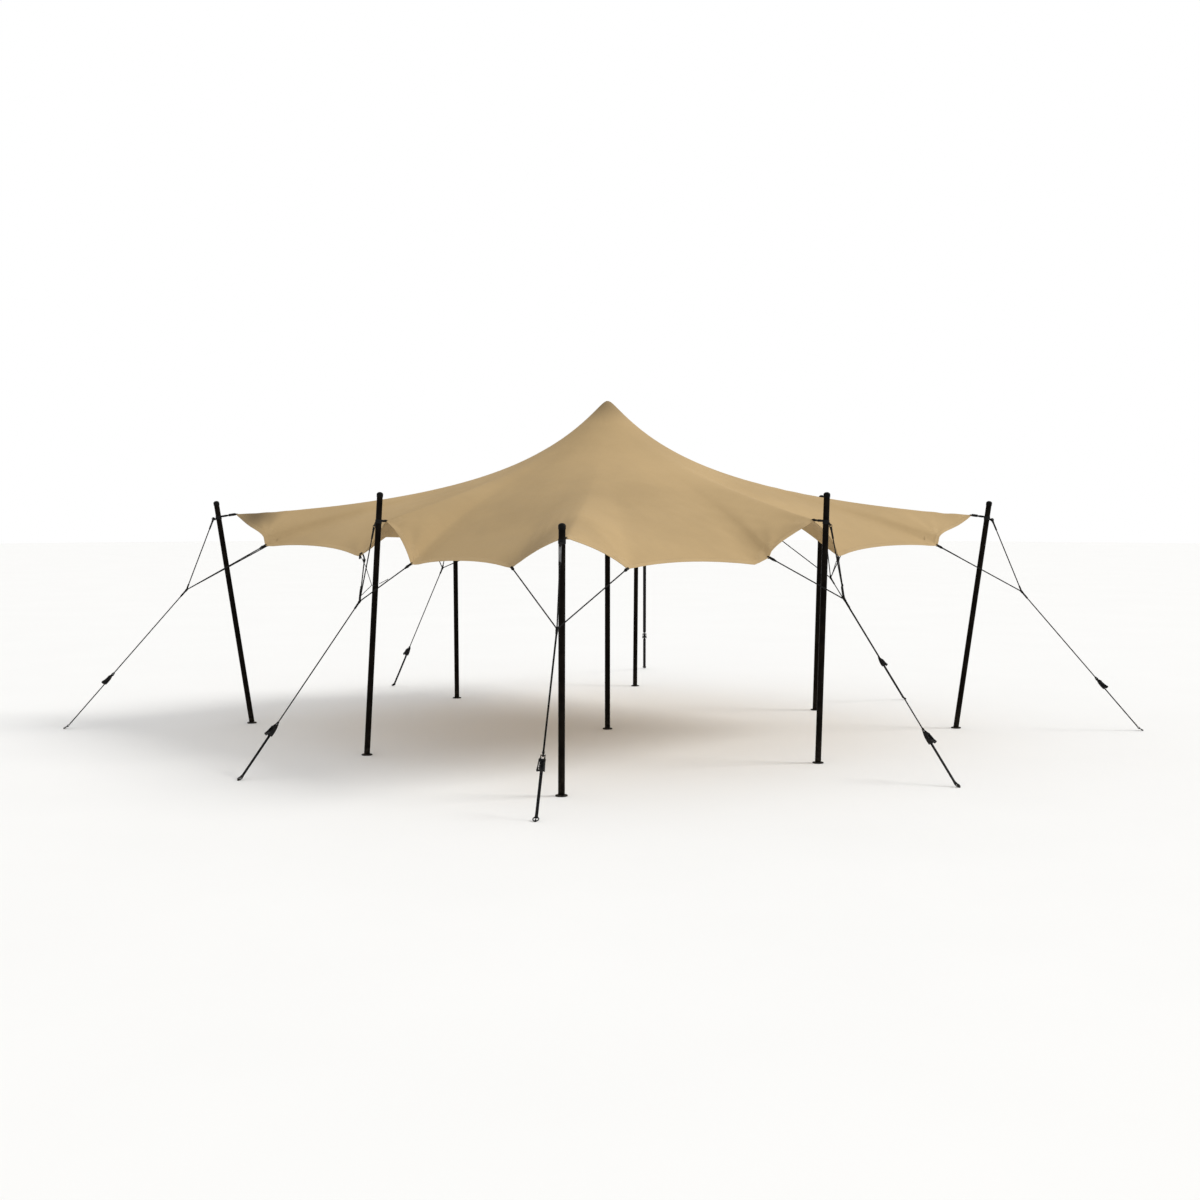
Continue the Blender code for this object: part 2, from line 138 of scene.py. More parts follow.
@dataclass
class Station:
    """One perimeter pole with its rigging. Places are on the ground plan, heights above the ground.

    What comes in pairs is for the tie on the left and for the tie on the right.
    """

    name: str
    foot: tuple
    lean: tuple
    height: float
    inward: tuple
    tip_gap: float
    tip_height: float
    reach: tuple
    hem_height: tuple
    knot_place: tuple
    stake: tuple
    ratchet_out: float
    ears: tuple = (EAR, EAR)
    lobes: tuple = (LOBE, LOBE)
    doubled: float = 0.0  # length of doubled rope above the knot

    def base(self):
        return Vector((*self.foot, BALL_HEIGHT))

    def top(self):
        return Vector((self.foot[0] + self.lean[0], self.foot[1] + self.lean[1], self.height))

    def axis(self):
        return (self.top() - self.base()).normalized()

    def on_axis(self, height):
        axis = self.axis()
        return self.base() + axis * ((height - BALL_HEIGHT) / axis.z)

    def tip(self):
        return self.on_axis(self.tip_height) + Vector((*self.inward, 0)).normalized() * self.tip_gap

    def outward(self):
        return Vector((self.stake[0] - self.foot[0], self.stake[1] - self.foot[1], 0)).normalized()

    def ring(self):
        return self.on_axis(self.tip_height - RING_DROP) + self.outward() * RING_OFFSET

    def knot(self):
        return Vector(self.knot_place)

    def at_corner(self):
        return 0 not in self.inward

    def strap_end(self):
        rim = Vector((-math.cos(EYE_TILT), 0, math.sin(EYE_TILT))) * EYE_RADIUS
        return Vector((*self.stake, EYE_HEIGHT)) + self.outward() * rim.x + Vector((0, 0, rim.z))

    def ratchet_frame(self):
        """The ratchet's own axes: +X up along the guy, +Y along the axle, +Z away from the ground."""
        along = (self.knot() - self.strap_end()).normalized()
        across = along.cross(UP).normalized() * -1
        turn = Matrix((along, across, along.cross(across))).transposed().to_4x4()
        return Matrix.Translation(self.strap_end() + along * self.ratchet_out) @ turn


# The perimeter poles in order around the tent, anticlockwise from above
STATIONS = [
    Station("front", foot=(2.62, -2.785), lean=(0.27, -0.208), height=2.36, inward=(-0.85, 1.15),
            tip_gap=0.135, tip_height=2.236, reach=(0.822, 0.673), hem_height=(1.956, 1.957),
            knot_place=(2.940, -3.089, 1.485), stake=(3.283, -3.586), ratchet_out=0.462,
            ears=((0.032, 1.0, 1.0), (0.032, 1.0, 1.0)),
            lobes=((0.010, 9.0, 0.07, 0.8), (0.010, 9.0, 0.07, 0.8))),
    Station("front_right", foot=(2.974, 0.137), lean=(0.085, -0.006), height=2.627, inward=(-1, 0),
            tip_gap=0.159, tip_height=2.358, reach=(0.601, 0.419), hem_height=(2.015, 1.999),
            knot_place=(3.269, 0.155, 1.608), stake=(4.601, 0.146), ratchet_out=0.512,
            ears=((0.048, 0.3, 1.2), EAR), lobes=((0.088, 1.3, 0.095, 1.0), LOBE), doubled=0.22),
    Station("right", foot=(2.484, 3.018), lean=(0.231, 0.23), height=2.54, inward=(-1, -1),
            tip_gap=0.176, tip_height=2.386, reach=(0.705, 0.47), hem_height=(2.064, 2.062),
            knot_place=(2.960, 3.529, 1.536), stake=(3.930, 4.417), ratchet_out=0.667,
            ears=((0.085, 0.3, 2.2), EAR)),
    Station("back_right", foot=(0.493, 2.912), lean=(-0.008, 0.091), height=2.611, inward=(0, -1),
            tip_gap=0.15, tip_height=2.345, reach=(0.45, 0.65), hem_height=(1.98, 2.125),
            knot_place=(0.461, 3.211, 1.600), stake=(0.585, 4.52), ratchet_out=0.642),
    Station("back", foot=(-2.69, 2.821), lean=(-0.24, 0.24), height=2.50, inward=(1, -1),
            tip_gap=0.16, tip_height=2.34, reach=(0.66, 0.66), hem_height=(2.00, 2.00),
            knot_place=(-3.094, 3.360, 1.640), stake=(-4.229, 4.391), ratchet_out=0.722),
    Station("back_left", foot=(-3.25, 0.237), lean=(-0.02, 0.00), height=2.61, inward=(1, 0),
            tip_gap=0.15, tip_height=2.345, reach=(0.50, 0.50), hem_height=(1.98, 2.065),
            knot_place=(-3.492, 0.192, 1.673), stake=(-4.85, 0.30), ratchet_out=0.642),
    Station("left", foot=(-2.987, -2.806), lean=(-0.267, -0.268), height=2.54, inward=(1, 1),
            tip_gap=0.208, tip_height=2.392, reach=(0.47, 0.60), hem_height=(2.062, 2.049),
            knot_place=(-3.369, -3.395, 1.536), stake=(-3.953, -4.587), ratchet_out=0.702,
            ears=(EAR, (0.085, 0.3, 2.2))),
    Station("front_left", foot=(-0.268, -2.953), lean=(-0.01, 0.189), height=2.631, inward=(0, 1),
            tip_gap=0.087, tip_height=2.341, reach=(0.447, 0.49), hem_height=(1.983, 1.925),
            knot_place=(-0.254, -3.028, 1.548), stake=(0.149, -4.556), ratchet_out=0.567,
            ears=((-0.030, 0.8, 1.2), (0.078, 0.8, 1.2)),
            lobes=(LOBE, (0.026, 9.0, 0.07, 0.8)), doubled=0.20),
]


def neighbours(station):
    index = STATIONS.index(station)
    return STATIONS[index - 1], STATIONS[(index + 1) % len(STATIONS)]


def add_to_scene(name, data):
    item = bpy.data.objects.new(name, data)
    bpy.context.scene.collection.objects.link(item)
    return item


# Camera

CAMERA_PLACE = (12.581, -10.855, 2.551)
CAMERA_DIP = 3.814
CAMERA_TURN = 49.5


def make_camera():
    data = bpy.data.cameras.new("camera")
    data.sensor_width = 36
    data.lens = 45
    data.clip_end = 300
    camera = add_to_scene("camera", data)
    camera.location = CAMERA_PLACE
    camera.rotation_euler = (math.radians(90 - CAMERA_DIP), 0, math.radians(CAMERA_TURN))
    bpy.context.scene.camera = camera


# Shader groups that several finishes share

class Nodes:
    """Small helper to place and link the nodes of one tree."""

    def __init__(self, tree):
        self.tree = tree

    def add(self, kind, **settings):
        node = self.tree.nodes.new(kind)
        for name, value in settings.items():
            setattr(node, name, value)
        return node

    def put(self, socket, value):
        if isinstance(value, bpy.types.NodeSocket):
            self.tree.links.new(value, socket)
        elif value is not None:
            socket.default_value = value

    def math(self, operation, *values):
        node = self.add("ShaderNodeMath", operation=operation)
        for socket, value in zip(node.inputs, values):
            self.put(socket, value)
        return node.outputs[0]

    def total(self, *parts):
        """The sum of (value, weight) pairs."""
        result = None
        for value, weight in parts:
            part = self.math("MULTIPLY", value, weight)
            result = part if result is None else self.math("ADD", result, part)
        return result

    def ridges(self, value, spacing=1.0):
        """Rises from 0 to 1 and falls back once in every spacing."""
        return self.math("ABSOLUTE", self.math("SINE", self.math("MULTIPLY", value, math.pi / spacing)))

    def vector(self, operation, first, second=None, scale=None):
        node = self.add("ShaderNodeVectorMath", operation=operation)
        self.put(node.inputs[0], first)
        self.put(node.inputs[1], second)
        if scale is not None:
            self.put(node.inputs["Scale"], scale)
        return node.outputs["Value" if operation == "LENGTH" else "Vector"]

    def split(self, vector):
        node = self.add("ShaderNodeSeparateXYZ")
        self.put(node.inputs[0], vector)
        return node.outputs

    def noise(self, vector, scale, detail, roughness, stretch=None):
        if stretch is not None:
            vector = self.vector("MULTIPLY", vector, stretch)
        node = self.add("ShaderNodeTexNoise")
        self.put(node.inputs["Vector"], vector)
        self.put(node.inputs["Scale"], scale)
        node.inputs["Detail"].default_value = detail
        node.inputs["Roughness"].default_value = roughness
        return node.outputs[0]

    def spread(self, value, low, high, to_low=0.0, to_high=1.0):
        node = self.add("ShaderNodeMapRange", interpolation_type="SMOOTHSTEP")
        for name, given in (("Value", value), ("From Min", low), ("From Max", high),
                            ("To Min", to_low), ("To Max", to_high)):
            self.put(node.inputs[name], given)
        return node.outputs["Result"]

    def mix(self, share, first, second):
        """Mixes two colours, each a socket or red, green and blue."""
        node = self.add("ShaderNodeMix", data_type="RGBA")
        self.put(node.inputs[0], share)
        for socket, colour in zip(node.inputs[6:8], (first, second)):
            self.put(socket, (*colour, 1) if isinstance(colour, tuple) else colour)
        return node.outputs[2]

    def group(self, tree, **values):
        node = self.add("ShaderNodeGroup", node_tree=tree)
        for name, value in values.items():
            self.put(node.inputs[name.title()], value)
        return node.outputs


def shader_group(name, outputs, **inputs):
    """An empty group. An input given as None is a vector, any other is a number, and so are the outputs."""
    tree = bpy.data.node_groups.new(name, "ShaderNodeTree")
    for label, value in inputs.items():
        kind = "NodeSocketVector" if value is None else "NodeSocketFloat"
        socket = tree.interface.new_socket(label, in_out="INPUT", socket_type=kind)
        if value is not None:
            socket.default_value = value
    for label in outputs:
        tree.interface.new_socket(label, in_out="OUTPUT", socket_type="NodeSocketFloat")
    nodes = Nodes(tree)
    return tree, nodes, nodes.add("NodeGroupInput").outputs, nodes.add("NodeGroupOutput").inputs


def weave_group():
    """Plain weave on a UV map in metres: a height for the bump and a tone for the colour."""
    tree, nodes, given, out = shader_group("plain weave", ("Height", "Tone"),
                                           Map=None, Threads=900.0, Slub=0.3)
    place = nodes.split(nodes.vector("SCALE", given["Map"], scale=given["Threads"]))
    column, row = nodes.math("FLOOR", place[0]), nodes.math("FLOOR", place[1])
    odd = nodes.math("MODULO", nodes.math("ABSOLUTE", nodes.math("ADD", column, row)), 2.0)
    even = nodes.math("SUBTRACT", 1.0, odd)
    height = nodes.total((nodes.ridges(place[0]), odd), (nodes.ridges(place[1]), even))
    slub = nodes.noise(given["Map"], 55.0, 3.0, 0.6, stretch=(1.0, 6.0, 1.0))
    nodes.put(out["Height"], nodes.math("ADD", height, nodes.math("MULTIPLY", slub, given["Slub"])))
    nodes.put(out["Tone"], nodes.total((height, 0.5), (slub, given["Slub"])))
    return tree


def grain_group():
    """Fine grain with broad patches, for painted, moulded and rolled surfaces."""
    tree, nodes, given, out = shader_group("surface grain", ("Height", "Patches", "Scratches"),
                                           Vector=None, Fine=900.0, Broad=14.0)
    broad = nodes.noise(given["Vector"], given["Broad"], 4.0, 0.6)
    scratches = nodes.noise(given["Vector"], 60.0, 6.0, 0.75, stretch=(1.0, 1.0, 0.08))
    nodes.put(out["Height"], nodes.noise(given["Vector"], given["Fine"], 2.0, 0.5))
    nodes.put(out["Patches"], nodes.spread(broad, 0.38, 0.66))
    nodes.put(out["Scratches"], nodes.spread(scratches, 0.63, 0.70))
    return tree


def dust_group():
    """Pale dust and dried soil that thins out above the ground."""
    tree, nodes, given, out = shader_group("ground dust", ("Mask",), Vector=None, Reach=0.25)
    low = nodes.spread(nodes.split(given["Vector"])[2], 0.0, given["Reach"], 1.0, 0.0)
    patches = nodes.spread(nodes.noise(given["Vector"], 38.0, 6.0, 0.7), 0.40, 0.72)
    nodes.put(out["Mask"], nodes.math("MULTIPLY", low, patches))
    return tree


def fibre_group():
    """Fibres along a twisted strand, on a UV map in metres with U round the strand and V along it."""
    tree, nodes, given, out = shader_group("rope fibres", ("Height", "Fuzz"), Map=None, Scale=260.0)
    nodes.put(out["Height"], nodes.noise(given["Map"], given["Scale"], 3.0, 0.6, stretch=(0.03, 1.0, 1.0)))
    nodes.put(out["Fuzz"], nodes.spread(nodes.noise(given["Map"], 21.0, 4.0, 0.7), 0.42, 0.68))
    return tree


WEAVE = weave_group()
GRAIN = grain_group()
DUST = dust_group()
FIBRES = fibre_group()


# Finishes

# Painted shade on the cloth, darker round the peak, a tip, an ear and the front slopes: place, reach and
# strength
PAINTED_SHADE_SPOTS = [
    ((0.0, 0.0, 3.62), 0.42, 0.56),
    ((-2.92, -2.76, 2.36), 0.44, 0.82),
    ((2.25, -2.75, 2.05), 0.80, 0.28),
    ((0.0, -2.75, 2.30), 0.75, 0.06),
    ((1.4, -1.7, 2.55), 1.7, 0.14),
    ((2.2, -0.6, 2.3), 1.3, 0.06),
    ((0.5, 0.1, 3.10), 0.8, 0.14),
]
# Colour of the painted shade on the cloth
PAINTED_SHADE_COLOUR = (0.12, 0.090, 0.055)
WEBBING_DUST = (0.25, 0.21, 0.16)
PAINT_DUST = (0.24, 0.20, 0.15)
WEBBING_RIB = 0.0042


def new_finish(name, roughness, metallic=0.0, gloss=0.5):
    material = bpy.data.materials.new(name)
    material.use_nodes = True
    shader = material.node_tree.nodes["Principled BSDF"]
    for label, value in (("Roughness", roughness), ("Metallic", metallic), ("Specular IOR Level", gloss)):
        shader.inputs[label].default_value = value
    return material, Nodes(material.node_tree), shader


def dress(nodes, shader, colour, roughness, height, distance, strength):
    """Joins colour, roughness and the height of the bump to a finish's shader."""
    nodes.put(shader.inputs["Base Color"], colour)
    nodes.put(shader.inputs["Roughness"], roughness)
    bump = nodes.add("ShaderNodeBump")
    bump.inputs["Strength"].default_value = strength
    bump.inputs["Distance"].default_value = distance
    nodes.put(bump.inputs["Height"], height)
    nodes.put(shader.inputs["Normal"], bump.outputs[0])


def object_place(nodes):
    return nodes.add("ShaderNodeTexCoord").outputs["Object"]


def uv_place(nodes):
    return nodes.add("ShaderNodeTexCoord").outputs["UV"]


def canopy_finish(name="canopy_cloth", light=(0.492, 0.352, 0.184), dark=(0.438, 0.312, 0.162)):
    """Stretch cloth: fine weave, cloudy and streaky dyeing, painted shade round a few spots and slightly
    slack areas.
    """
    material, nodes, shader = new_finish(name, 0.82, gloss=0.12)
    place = object_place(nodes)
    weave = nodes.group(WEAVE, map=uv_place(nodes), threads=620.0, slub=0.35)
    clouds = nodes.spread(nodes.noise(place, 0.9, 4.0, 0.55), 0.32, 0.68)
    streaks = nodes.noise(place, 2.6, 5.0, 0.6, stretch=(1.0, 3.2, 0.6))
    tone = nodes.total((clouds, 0.6), (streaks, 0.5), (weave["Tone"], 0.12))
    colour = nodes.mix(nodes.spread(tone, 0.1, 1.05), dark, light)
    # Painted shade: the cloth's colour darkens towards each of these spots
    for spot, reach, strength in PAINTED_SHADE_SPOTS:
        away = nodes.vector("LENGTH", nodes.vector("SUBTRACT", place, spot))
        colour = nodes.mix(nodes.spread(away, 0.0, reach, strength, 0.0), colour, PAINTED_SHADE_COLOUR)
    slack = nodes.noise(place, 5.0, 3.0, 0.5, stretch=(2.4, 0.8, 1.0))
    height = nodes.total((slack, 2.4), (weave["Height"], 0.09))
    dress(nodes, shader, colour, nodes.spread(streaks, 0.3, 0.7, 0.76, 0.88), height, 0.003, 0.55)
    return material


def thread_finish():
    material, nodes, shader = new_finish("stitch_thread", 0.6)
    tone = nodes.noise(object_place(nodes), 240.0, 3.0, 0.6)
    dress(nodes, shader, nodes.mix(tone, (0.36, 0.26, 0.14), (0.54, 0.41, 0.24)), None, tone, 0.0004, 0.6)
    return material


def webbing_finish(name, dark, light, threads=430.0, roughness=0.7):
    """Ribbed woven webbing, worn and a little dusty."""
    material, nodes, shader = new_finish(name, roughness, gloss=0.08)
    uv, place = uv_place(nodes), object_place(nodes)
    weave = nodes.group(WEAVE, map=uv, threads=threads, slub=0.25)
    rib = nodes.ridges(nodes.split(uv)[0], WEBBING_RIB)
    worn = nodes.spread(nodes.noise(place, 30.0, 5.0, 0.65), 0.45, 0.75)
    tone = nodes.total((weave["Tone"], 0.6), (worn, 0.5))
    dust = nodes.group(DUST, vector=place, reach=0.10)
    colour = nodes.mix(nodes.math("MULTIPLY", dust["Mask"], 0.12), nodes.mix(tone, dark, light), WEBBING_DUST)
    height = nodes.math("ADD", weave["Height"], nodes.math("MULTIPLY", rib, 0.8))
    rough = nodes.spread(tone, 0.2, 1.0, roughness - 0.08, roughness + 0.12)
    dress(nodes, shader, colour, rough, height, 0.0006, 0.7)
    return material


def rope_finish():
    material, nodes, shader = new_finish("rope_fibre", 0.82, gloss=0.05)
    fibres = nodes.group(FIBRES, map=uv_place(nodes))
    tone = nodes.total((fibres["Height"], 0.7), (fibres["Fuzz"], 0.4))
    colour = nodes.mix(tone, (0.006, 0.006, 0.006), (0.026, 0.025, 0.024))
    roughness = nodes.spread(fibres["Fuzz"], 0.0, 1.0, 0.72, 0.9)
    dress(nodes, shader, colour, roughness, fibres["Height"], 0.0006, 0.8)
    return material


def painted_finish(name, dark, light, worn, roughness, metallic=0.0, fine=1400.0, broad=9.0, wear=0.5,
                   dusty=0.3, gloss=0.2):
    """Powder coat, moulded plastic or plated steel: patches, scratches that show what is below, and dust."""
    material, nodes, shader = new_finish(name, roughness, metallic, gloss)
    place = object_place(nodes)
    grain = nodes.group(GRAIN, vector=place, fine=fine, broad=broad)
    dust = nodes.group(DUST, vector=place, reach=0.35)
    colour = nodes.mix(grain["Patches"], dark, light)
    colour = nodes.mix(nodes.math("MULTIPLY", grain["Scratches"], wear), colour, worn)
    colour = nodes.mix(nodes.math("MULTIPLY", dust["Mask"], dusty), colour, PAINT_DUST)
    rough = nodes.spread(grain["Patches"], 0.0, 1.0, roughness - 0.05, roughness + 0.07)
    rough = nodes.math("ADD", rough, nodes.math("MULTIPLY", dust["Mask"], 0.3))
    dress(nodes, shader, colour, rough, grain["Height"], 0.0003, 0.35)
    return material


def grey(level):
    return (level, level, level)


# Painted finishes have a dark, a light and a worn colour, woven ones a dark and a light one
FINISH = {
    "cloth": canopy_finish(),
    "patch": canopy_finish("reinforcement_cloth", (0.515, 0.372, 0.198), (0.455, 0.326, 0.172)),
    "thread": thread_finish(),
    "pole": painted_finish("pole_powder_coat", (0.0040, 0.0030, 0.0023), (0.0085, 0.0066, 0.0050),
                           (0.034, 0.027, 0.021), 0.34, wear=0.35, dusty=0.12, gloss=0.02),
    "cap": painted_finish("cap_plastic", grey(0.003), grey(0.008), grey(0.02), 0.42, gloss=0.05),
    "foot": painted_finish("foot_rubber", (0.008, 0.007, 0.007), (0.018, 0.017, 0.016),
                           (0.04, 0.036, 0.032), 0.58, dusty=0.25, gloss=0.08),
    "rope": rope_finish(),
    "strap": webbing_finish("strap_webbing", (0.005, 0.005, 0.006), grey(0.018)),
    "grey_strap": webbing_finish("grey_webbing", (0.090, 0.092, 0.095), grey(0.300), roughness=0.45),
    "strap_thread": webbing_finish("strap_thread", grey(0.040), grey(0.10), threads=900.0),
    "steel": painted_finish("ratchet_plating", (0.006, 0.006, 0.007), (0.015, 0.014, 0.013),
                            (0.08, 0.07, 0.06), 0.46, 0.25, fine=1800.0, broad=40.0, wear=0.4, gloss=0.1),
    "zinc": painted_finish("fitting_dark_zinc", grey(0.010), (0.026, 0.025, 0.024), (0.08, 0.06, 0.04),
                           0.42, 0.4, broad=60.0, gloss=0.12),
    "grip": painted_finish("grip_rubber", grey(0.012), (0.030, 0.029, 0.028), grey(0.08), 0.7),
    "stake": painted_finish("stake_steel_bar", grey(0.006), (0.015, 0.014, 0.013), (0.10, 0.06, 0.035),
                            0.52, 0.2, broad=45.0, wear=0.25, dusty=0.12, gloss=0.08),
}


# Shapes

class Shape:
    """Collects the faces of one mesh, each with its finish and its place on the UV map in metres."""

    def __init__(self, *finishes):
        self.finishes = list(finishes)
        self.points, self.faces, self.uvs, self.finish_of = [], [], [], []

    def add(self, points, faces, uvs, finish):
        start = len(self.points)
        if finish not in self.finishes:
            self.finishes.append(finish)
        self.points += [tuple(p) for p in points]
        self.faces += [[start + i for i in face] for face in faces]
        self.uvs += uvs
        self.finish_of += [self.finishes.index(finish)] * len(faces)

    def grid(self, rows, finish, closed_rows=False, closed_columns=False, caps=False):
        """Quads between rows of points. UV: U across a row, V from row to row."""
        count, wide = len(rows), len(rows[0])
        flat = [p for row in rows for p in row]
        across = [0.0]
        for i in range(wide):
            across.append(across[-1] + (Vector(rows[0][(i + 1) % wide]) - Vector(rows[0][i])).length)
        along = [0.0]
        for r in range(count):
            middle = sum((Vector(p) for p in rows[r]), Vector()) / wide
            after = sum((Vector(p) for p in rows[(r + 1) % count]), Vector()) / wide
            along.append(along[-1] + (after - middle).length)
        faces, uvs = [], []
        for r in range(count if closed_rows else count - 1):
            for i in range(wide if closed_columns else wide - 1):
                j, s = (i + 1) % wide, (r + 1) % count
                faces.append((r * wide + i, r * wide + j, s * wide + j, s * wide + i))
                uvs.append([(across[i], along[r]), (across[i + 1], along[r]),
                            (across[i + 1], along[r + 1]), (across[i], along[r + 1])])
        if caps:
            for r in (0, count - 1):
                faces.append([r * wide + i for i in range(wide)])
                uvs.append([(across[i], along[r]) for i in range(wide)])
        self.add(flat, faces, uvs, finish)

    def lathe(self, profile, sides, place, finish):
        """Turns (radius, height) points about the place's Z. A radius of 0 closes the shape."""
        points, rings = [], []
        for radius, height in profile:
            if radius == 0:
                rings.append([len(points)])
                points.append(place @ Vector((0, 0, height)))
                continue
            rings.append(range(len(points), len(points) + sides))
            for side in range(sides):
                angle = math.tau * side / sides
                points.append(place @ Vector((radius * math.cos(angle), radius * math.sin(angle), height)))
        faces, uvs, far = [], [], 0.0
        for here, there, ring, after in zip(profile, profile[1:], rings, rings[1:]):
            reach = far + math.hypot(there[0] - here[0], there[1] - here[1])
            girth = math.tau * max(here[0], there[0])
            for side in range(sides):
                other = (side + 1) % sides
                corners = ((ring, side, far), (ring, other, far), (after, other, reach), (after, side, reach))
                face, uv = [], []
                for loop, at, down in corners:
                    index = loop[0] if len(loop) == 1 else loop[at]
                    if index not in face:
                        face.append(index)
                        uv.append(((side + (at == other)) / sides * girth, down))
                faces.append(face)
                uvs.append(uv)
            far = reach
        self.add(points, faces, uvs, finish)

    def sweep(self, path, sections, finish, closed=False, wide_axis=None):
        """Joins a cross-section at each point of a path, its first axis towards wide_axis where given."""
        path = [Vector(p) for p in path]
        rows, normal = [], None
        for i, (point, section) in enumerate(zip(path, sections)):
            before = path[i - 1] if i or closed else point
            after = path[(i + 1) % len(path)] if i + 1 < len(path) or closed else point
            way = (after - before).normalized()
            if wide_axis is not None:
                side = (wide_axis - way * wide_axis.dot(way)).normalized()
                normal = way.cross(side).normalized()
            else:
                if normal is None:
                    normal = way.orthogonal().normalized()
                normal = (normal - way * normal.dot(way)).normalized()
                side = normal.cross(way)
            rows.append([point + side * a + normal * b for a, b in section])
        self.grid(rows, finish, closed_rows=closed, closed_columns=True, caps=not closed)

    def tube(self, path, radius, sides, finish, closed=False):
        """A round bar along a path. radius may be a list with one value for each point."""
        sizes = radius if isinstance(radius, list) else [radius] * len(path)
        angles = [math.tau * k / sides for k in range(sides)]
        rings = [[(math.cos(a) * size, math.sin(a) * size) for a in angles] for size in sizes]
        self.sweep(path, rings, finish, closed)

    def hoop(self, centre, radius, first, second, points, thickness, sides, finish):
        """A closed ring of round bar in the plane of two directions."""
        path = circle(centre, radius, first, second, points + 1)[:-1]
        self.tube(path, thickness, sides, finish, closed=True)

    def strip(self, path, width, thickness, wide_axis, finish="strap"):
        """Woven webbing with rounded selvedges along a path."""
        half, side = thickness / 2, width / 2
        flat = side - half * 0.7
        below = [(-flat, -half), (-side / 3, -half), (side / 3, -half), (flat, -half)]
        above = [(a, -b) for a, b in reversed(below)]
        section = [(-side, 0), *below, (side, 0), *above]
        self.sweep(path, [section] * len(path), finish, wide_axis=wide_axis)

    def prism(self, outline, low, high, place, finish, bevel=0.0005):
        """A flat outline of (x, z) points between two values of y, with eased edges."""
        inner = inset(outline, bevel)
        levels = ((low, inner), (low + bevel, outline), (high - bevel, outline), (high, inner))
        self.grid([on_plane(place, loop, y) for y, loop in levels], finish, closed_columns=True, caps=True)

    def box(self, low, high, place, finish):
        outline = [(low[0], low[2]), (high[0], low[2]), (high[0], high[2]), (low[0], high[2])]
        self.prism(outline, low[1], high[1], place, finish, bevel=0.0006)


def inset(outline, distance):
    """The outline moved inwards. It runs round once, either way."""
    area = sum(a[0] * b[1] - b[0] * a[1] for a, b in zip(outline, outline[1:] + outline[:1]))
    turn = 1 if area > 0 else -1
    moved = []
    for i, point in enumerate(outline):
        before, after = Vector(outline[i - 1]), Vector(outline[(i + 1) % len(outline)])
        point = Vector(point)
        first, second = (point - before).normalized(), (after - point).normalized()
        push = Vector((-first.y - second.y, first.x + second.x)) * turn
        moved.append(tuple(point + push.normalized() * distance))
    return moved


def circle(centre, radius, first, second, steps, start=0.0, end=math.tau, rise=None):
    """Points on an arc in the plane of two directions. With a rise they make a coil."""
    points = []
    for step in range(steps):
        share = step / (steps - 1)
        angle = start + (end - start) * share
        point = centre + first * (radius * math.cos(angle)) + second * (radius * math.sin(angle))
        points.append(point + rise * share if rise is not None else point)
    return points


def half_turn(x, radius, steps):
    """Points (x, z) round the far side of a bar at x, from its top to its bottom."""
    angles = [math.pi * k / steps for k in range(steps + 1)]
    return [(x - radius * math.sin(a), radius * math.cos(a)) for a in angles]


# Placements

def shift(x, y, z):
    return Matrix.Translation((x, y, z))


def along(start, end):
    """A placement with its origin at start and its +Z towards end."""
    return Matrix.Translation(start) @ (end - start).to_track_quat("Z", "Y").to_matrix().to_4x4()


def on_plane(place, outline, y=0):
    """Points given as (x, z), laid in the placement's XZ plane at one value of y."""
    return [place @ Vector((x, y, z)) for x, z in outline]


def on_y(place, x, z):
    """A placement whose Z runs along the ratchet's Y, through one point of its X and Z."""
    return place @ shift(x, 0, z) @ Matrix.Rotation(math.radians(-90), 4, "X")


def facing(place, side):
    """The placement itself for side 1, turned over for side -1."""
    return place @ Matrix.Rotation(math.pi, 4, "X") if side < 0 else place


def direction(place, *way):
    return (place.to_3x3() @ Vector(way)).normalized()


# Pieces

def plain_mesh(name, points, faces, uvs=None):
    mesh = bpy.data.meshes.new(name)
    mesh.from_pydata(points, [], faces)
    if uvs is not None:
        layer = mesh.uv_layers.new(name="UVMap")
        layer.data.foreach_set("uv", [value for face in uvs for corner in face for value in corner])
    return mesh


def finished(name, shape, replaces=(), body="tent", smooth=38):
    """One piece from a shape: closed faces turned outwards, placed on its body."""
    mesh = plain_mesh(name, shape.points, shape.faces, shape.uvs)
    mesh.polygons.foreach_set("material_index", shape.finish_of)
    for finish in shape.finishes:
        mesh.materials.append(FINISH[finish])
    made = bmesh.new()
    made.from_mesh(mesh)
    bmesh.ops.recalc_face_normals(made, faces=made.faces)
    made.to_mesh(mesh)
    made.free()
    return placed(name, mesh, replaces, body, smooth)


def dressed(node, shape, body="tent", smooth=38):
    """The piece that takes the place of one solid."""
    finished(f"dressed_{node}", shape, [node], body, smooth)


def placed(name, mesh, replaces=(), body="tent", smooth=None):
    """One piece from a mesh that already has its finish. Edges sharper than smooth degrees stay sharp."""
    mesh.name = name
    mesh.shade_smooth()
    if smooth:
        mesh.set_sharp_from_angle(angle=math.radians(smooth))
    piece = add_to_scene(name, mesh)
    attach(piece, body)
    if replaces:
        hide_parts(*replaces)
    return piece


# Geometry Nodes trees

SOCKET_KINDS = {int: "NodeSocketInt", float: "NodeSocketFloat", tuple: "NodeSocketVector"}


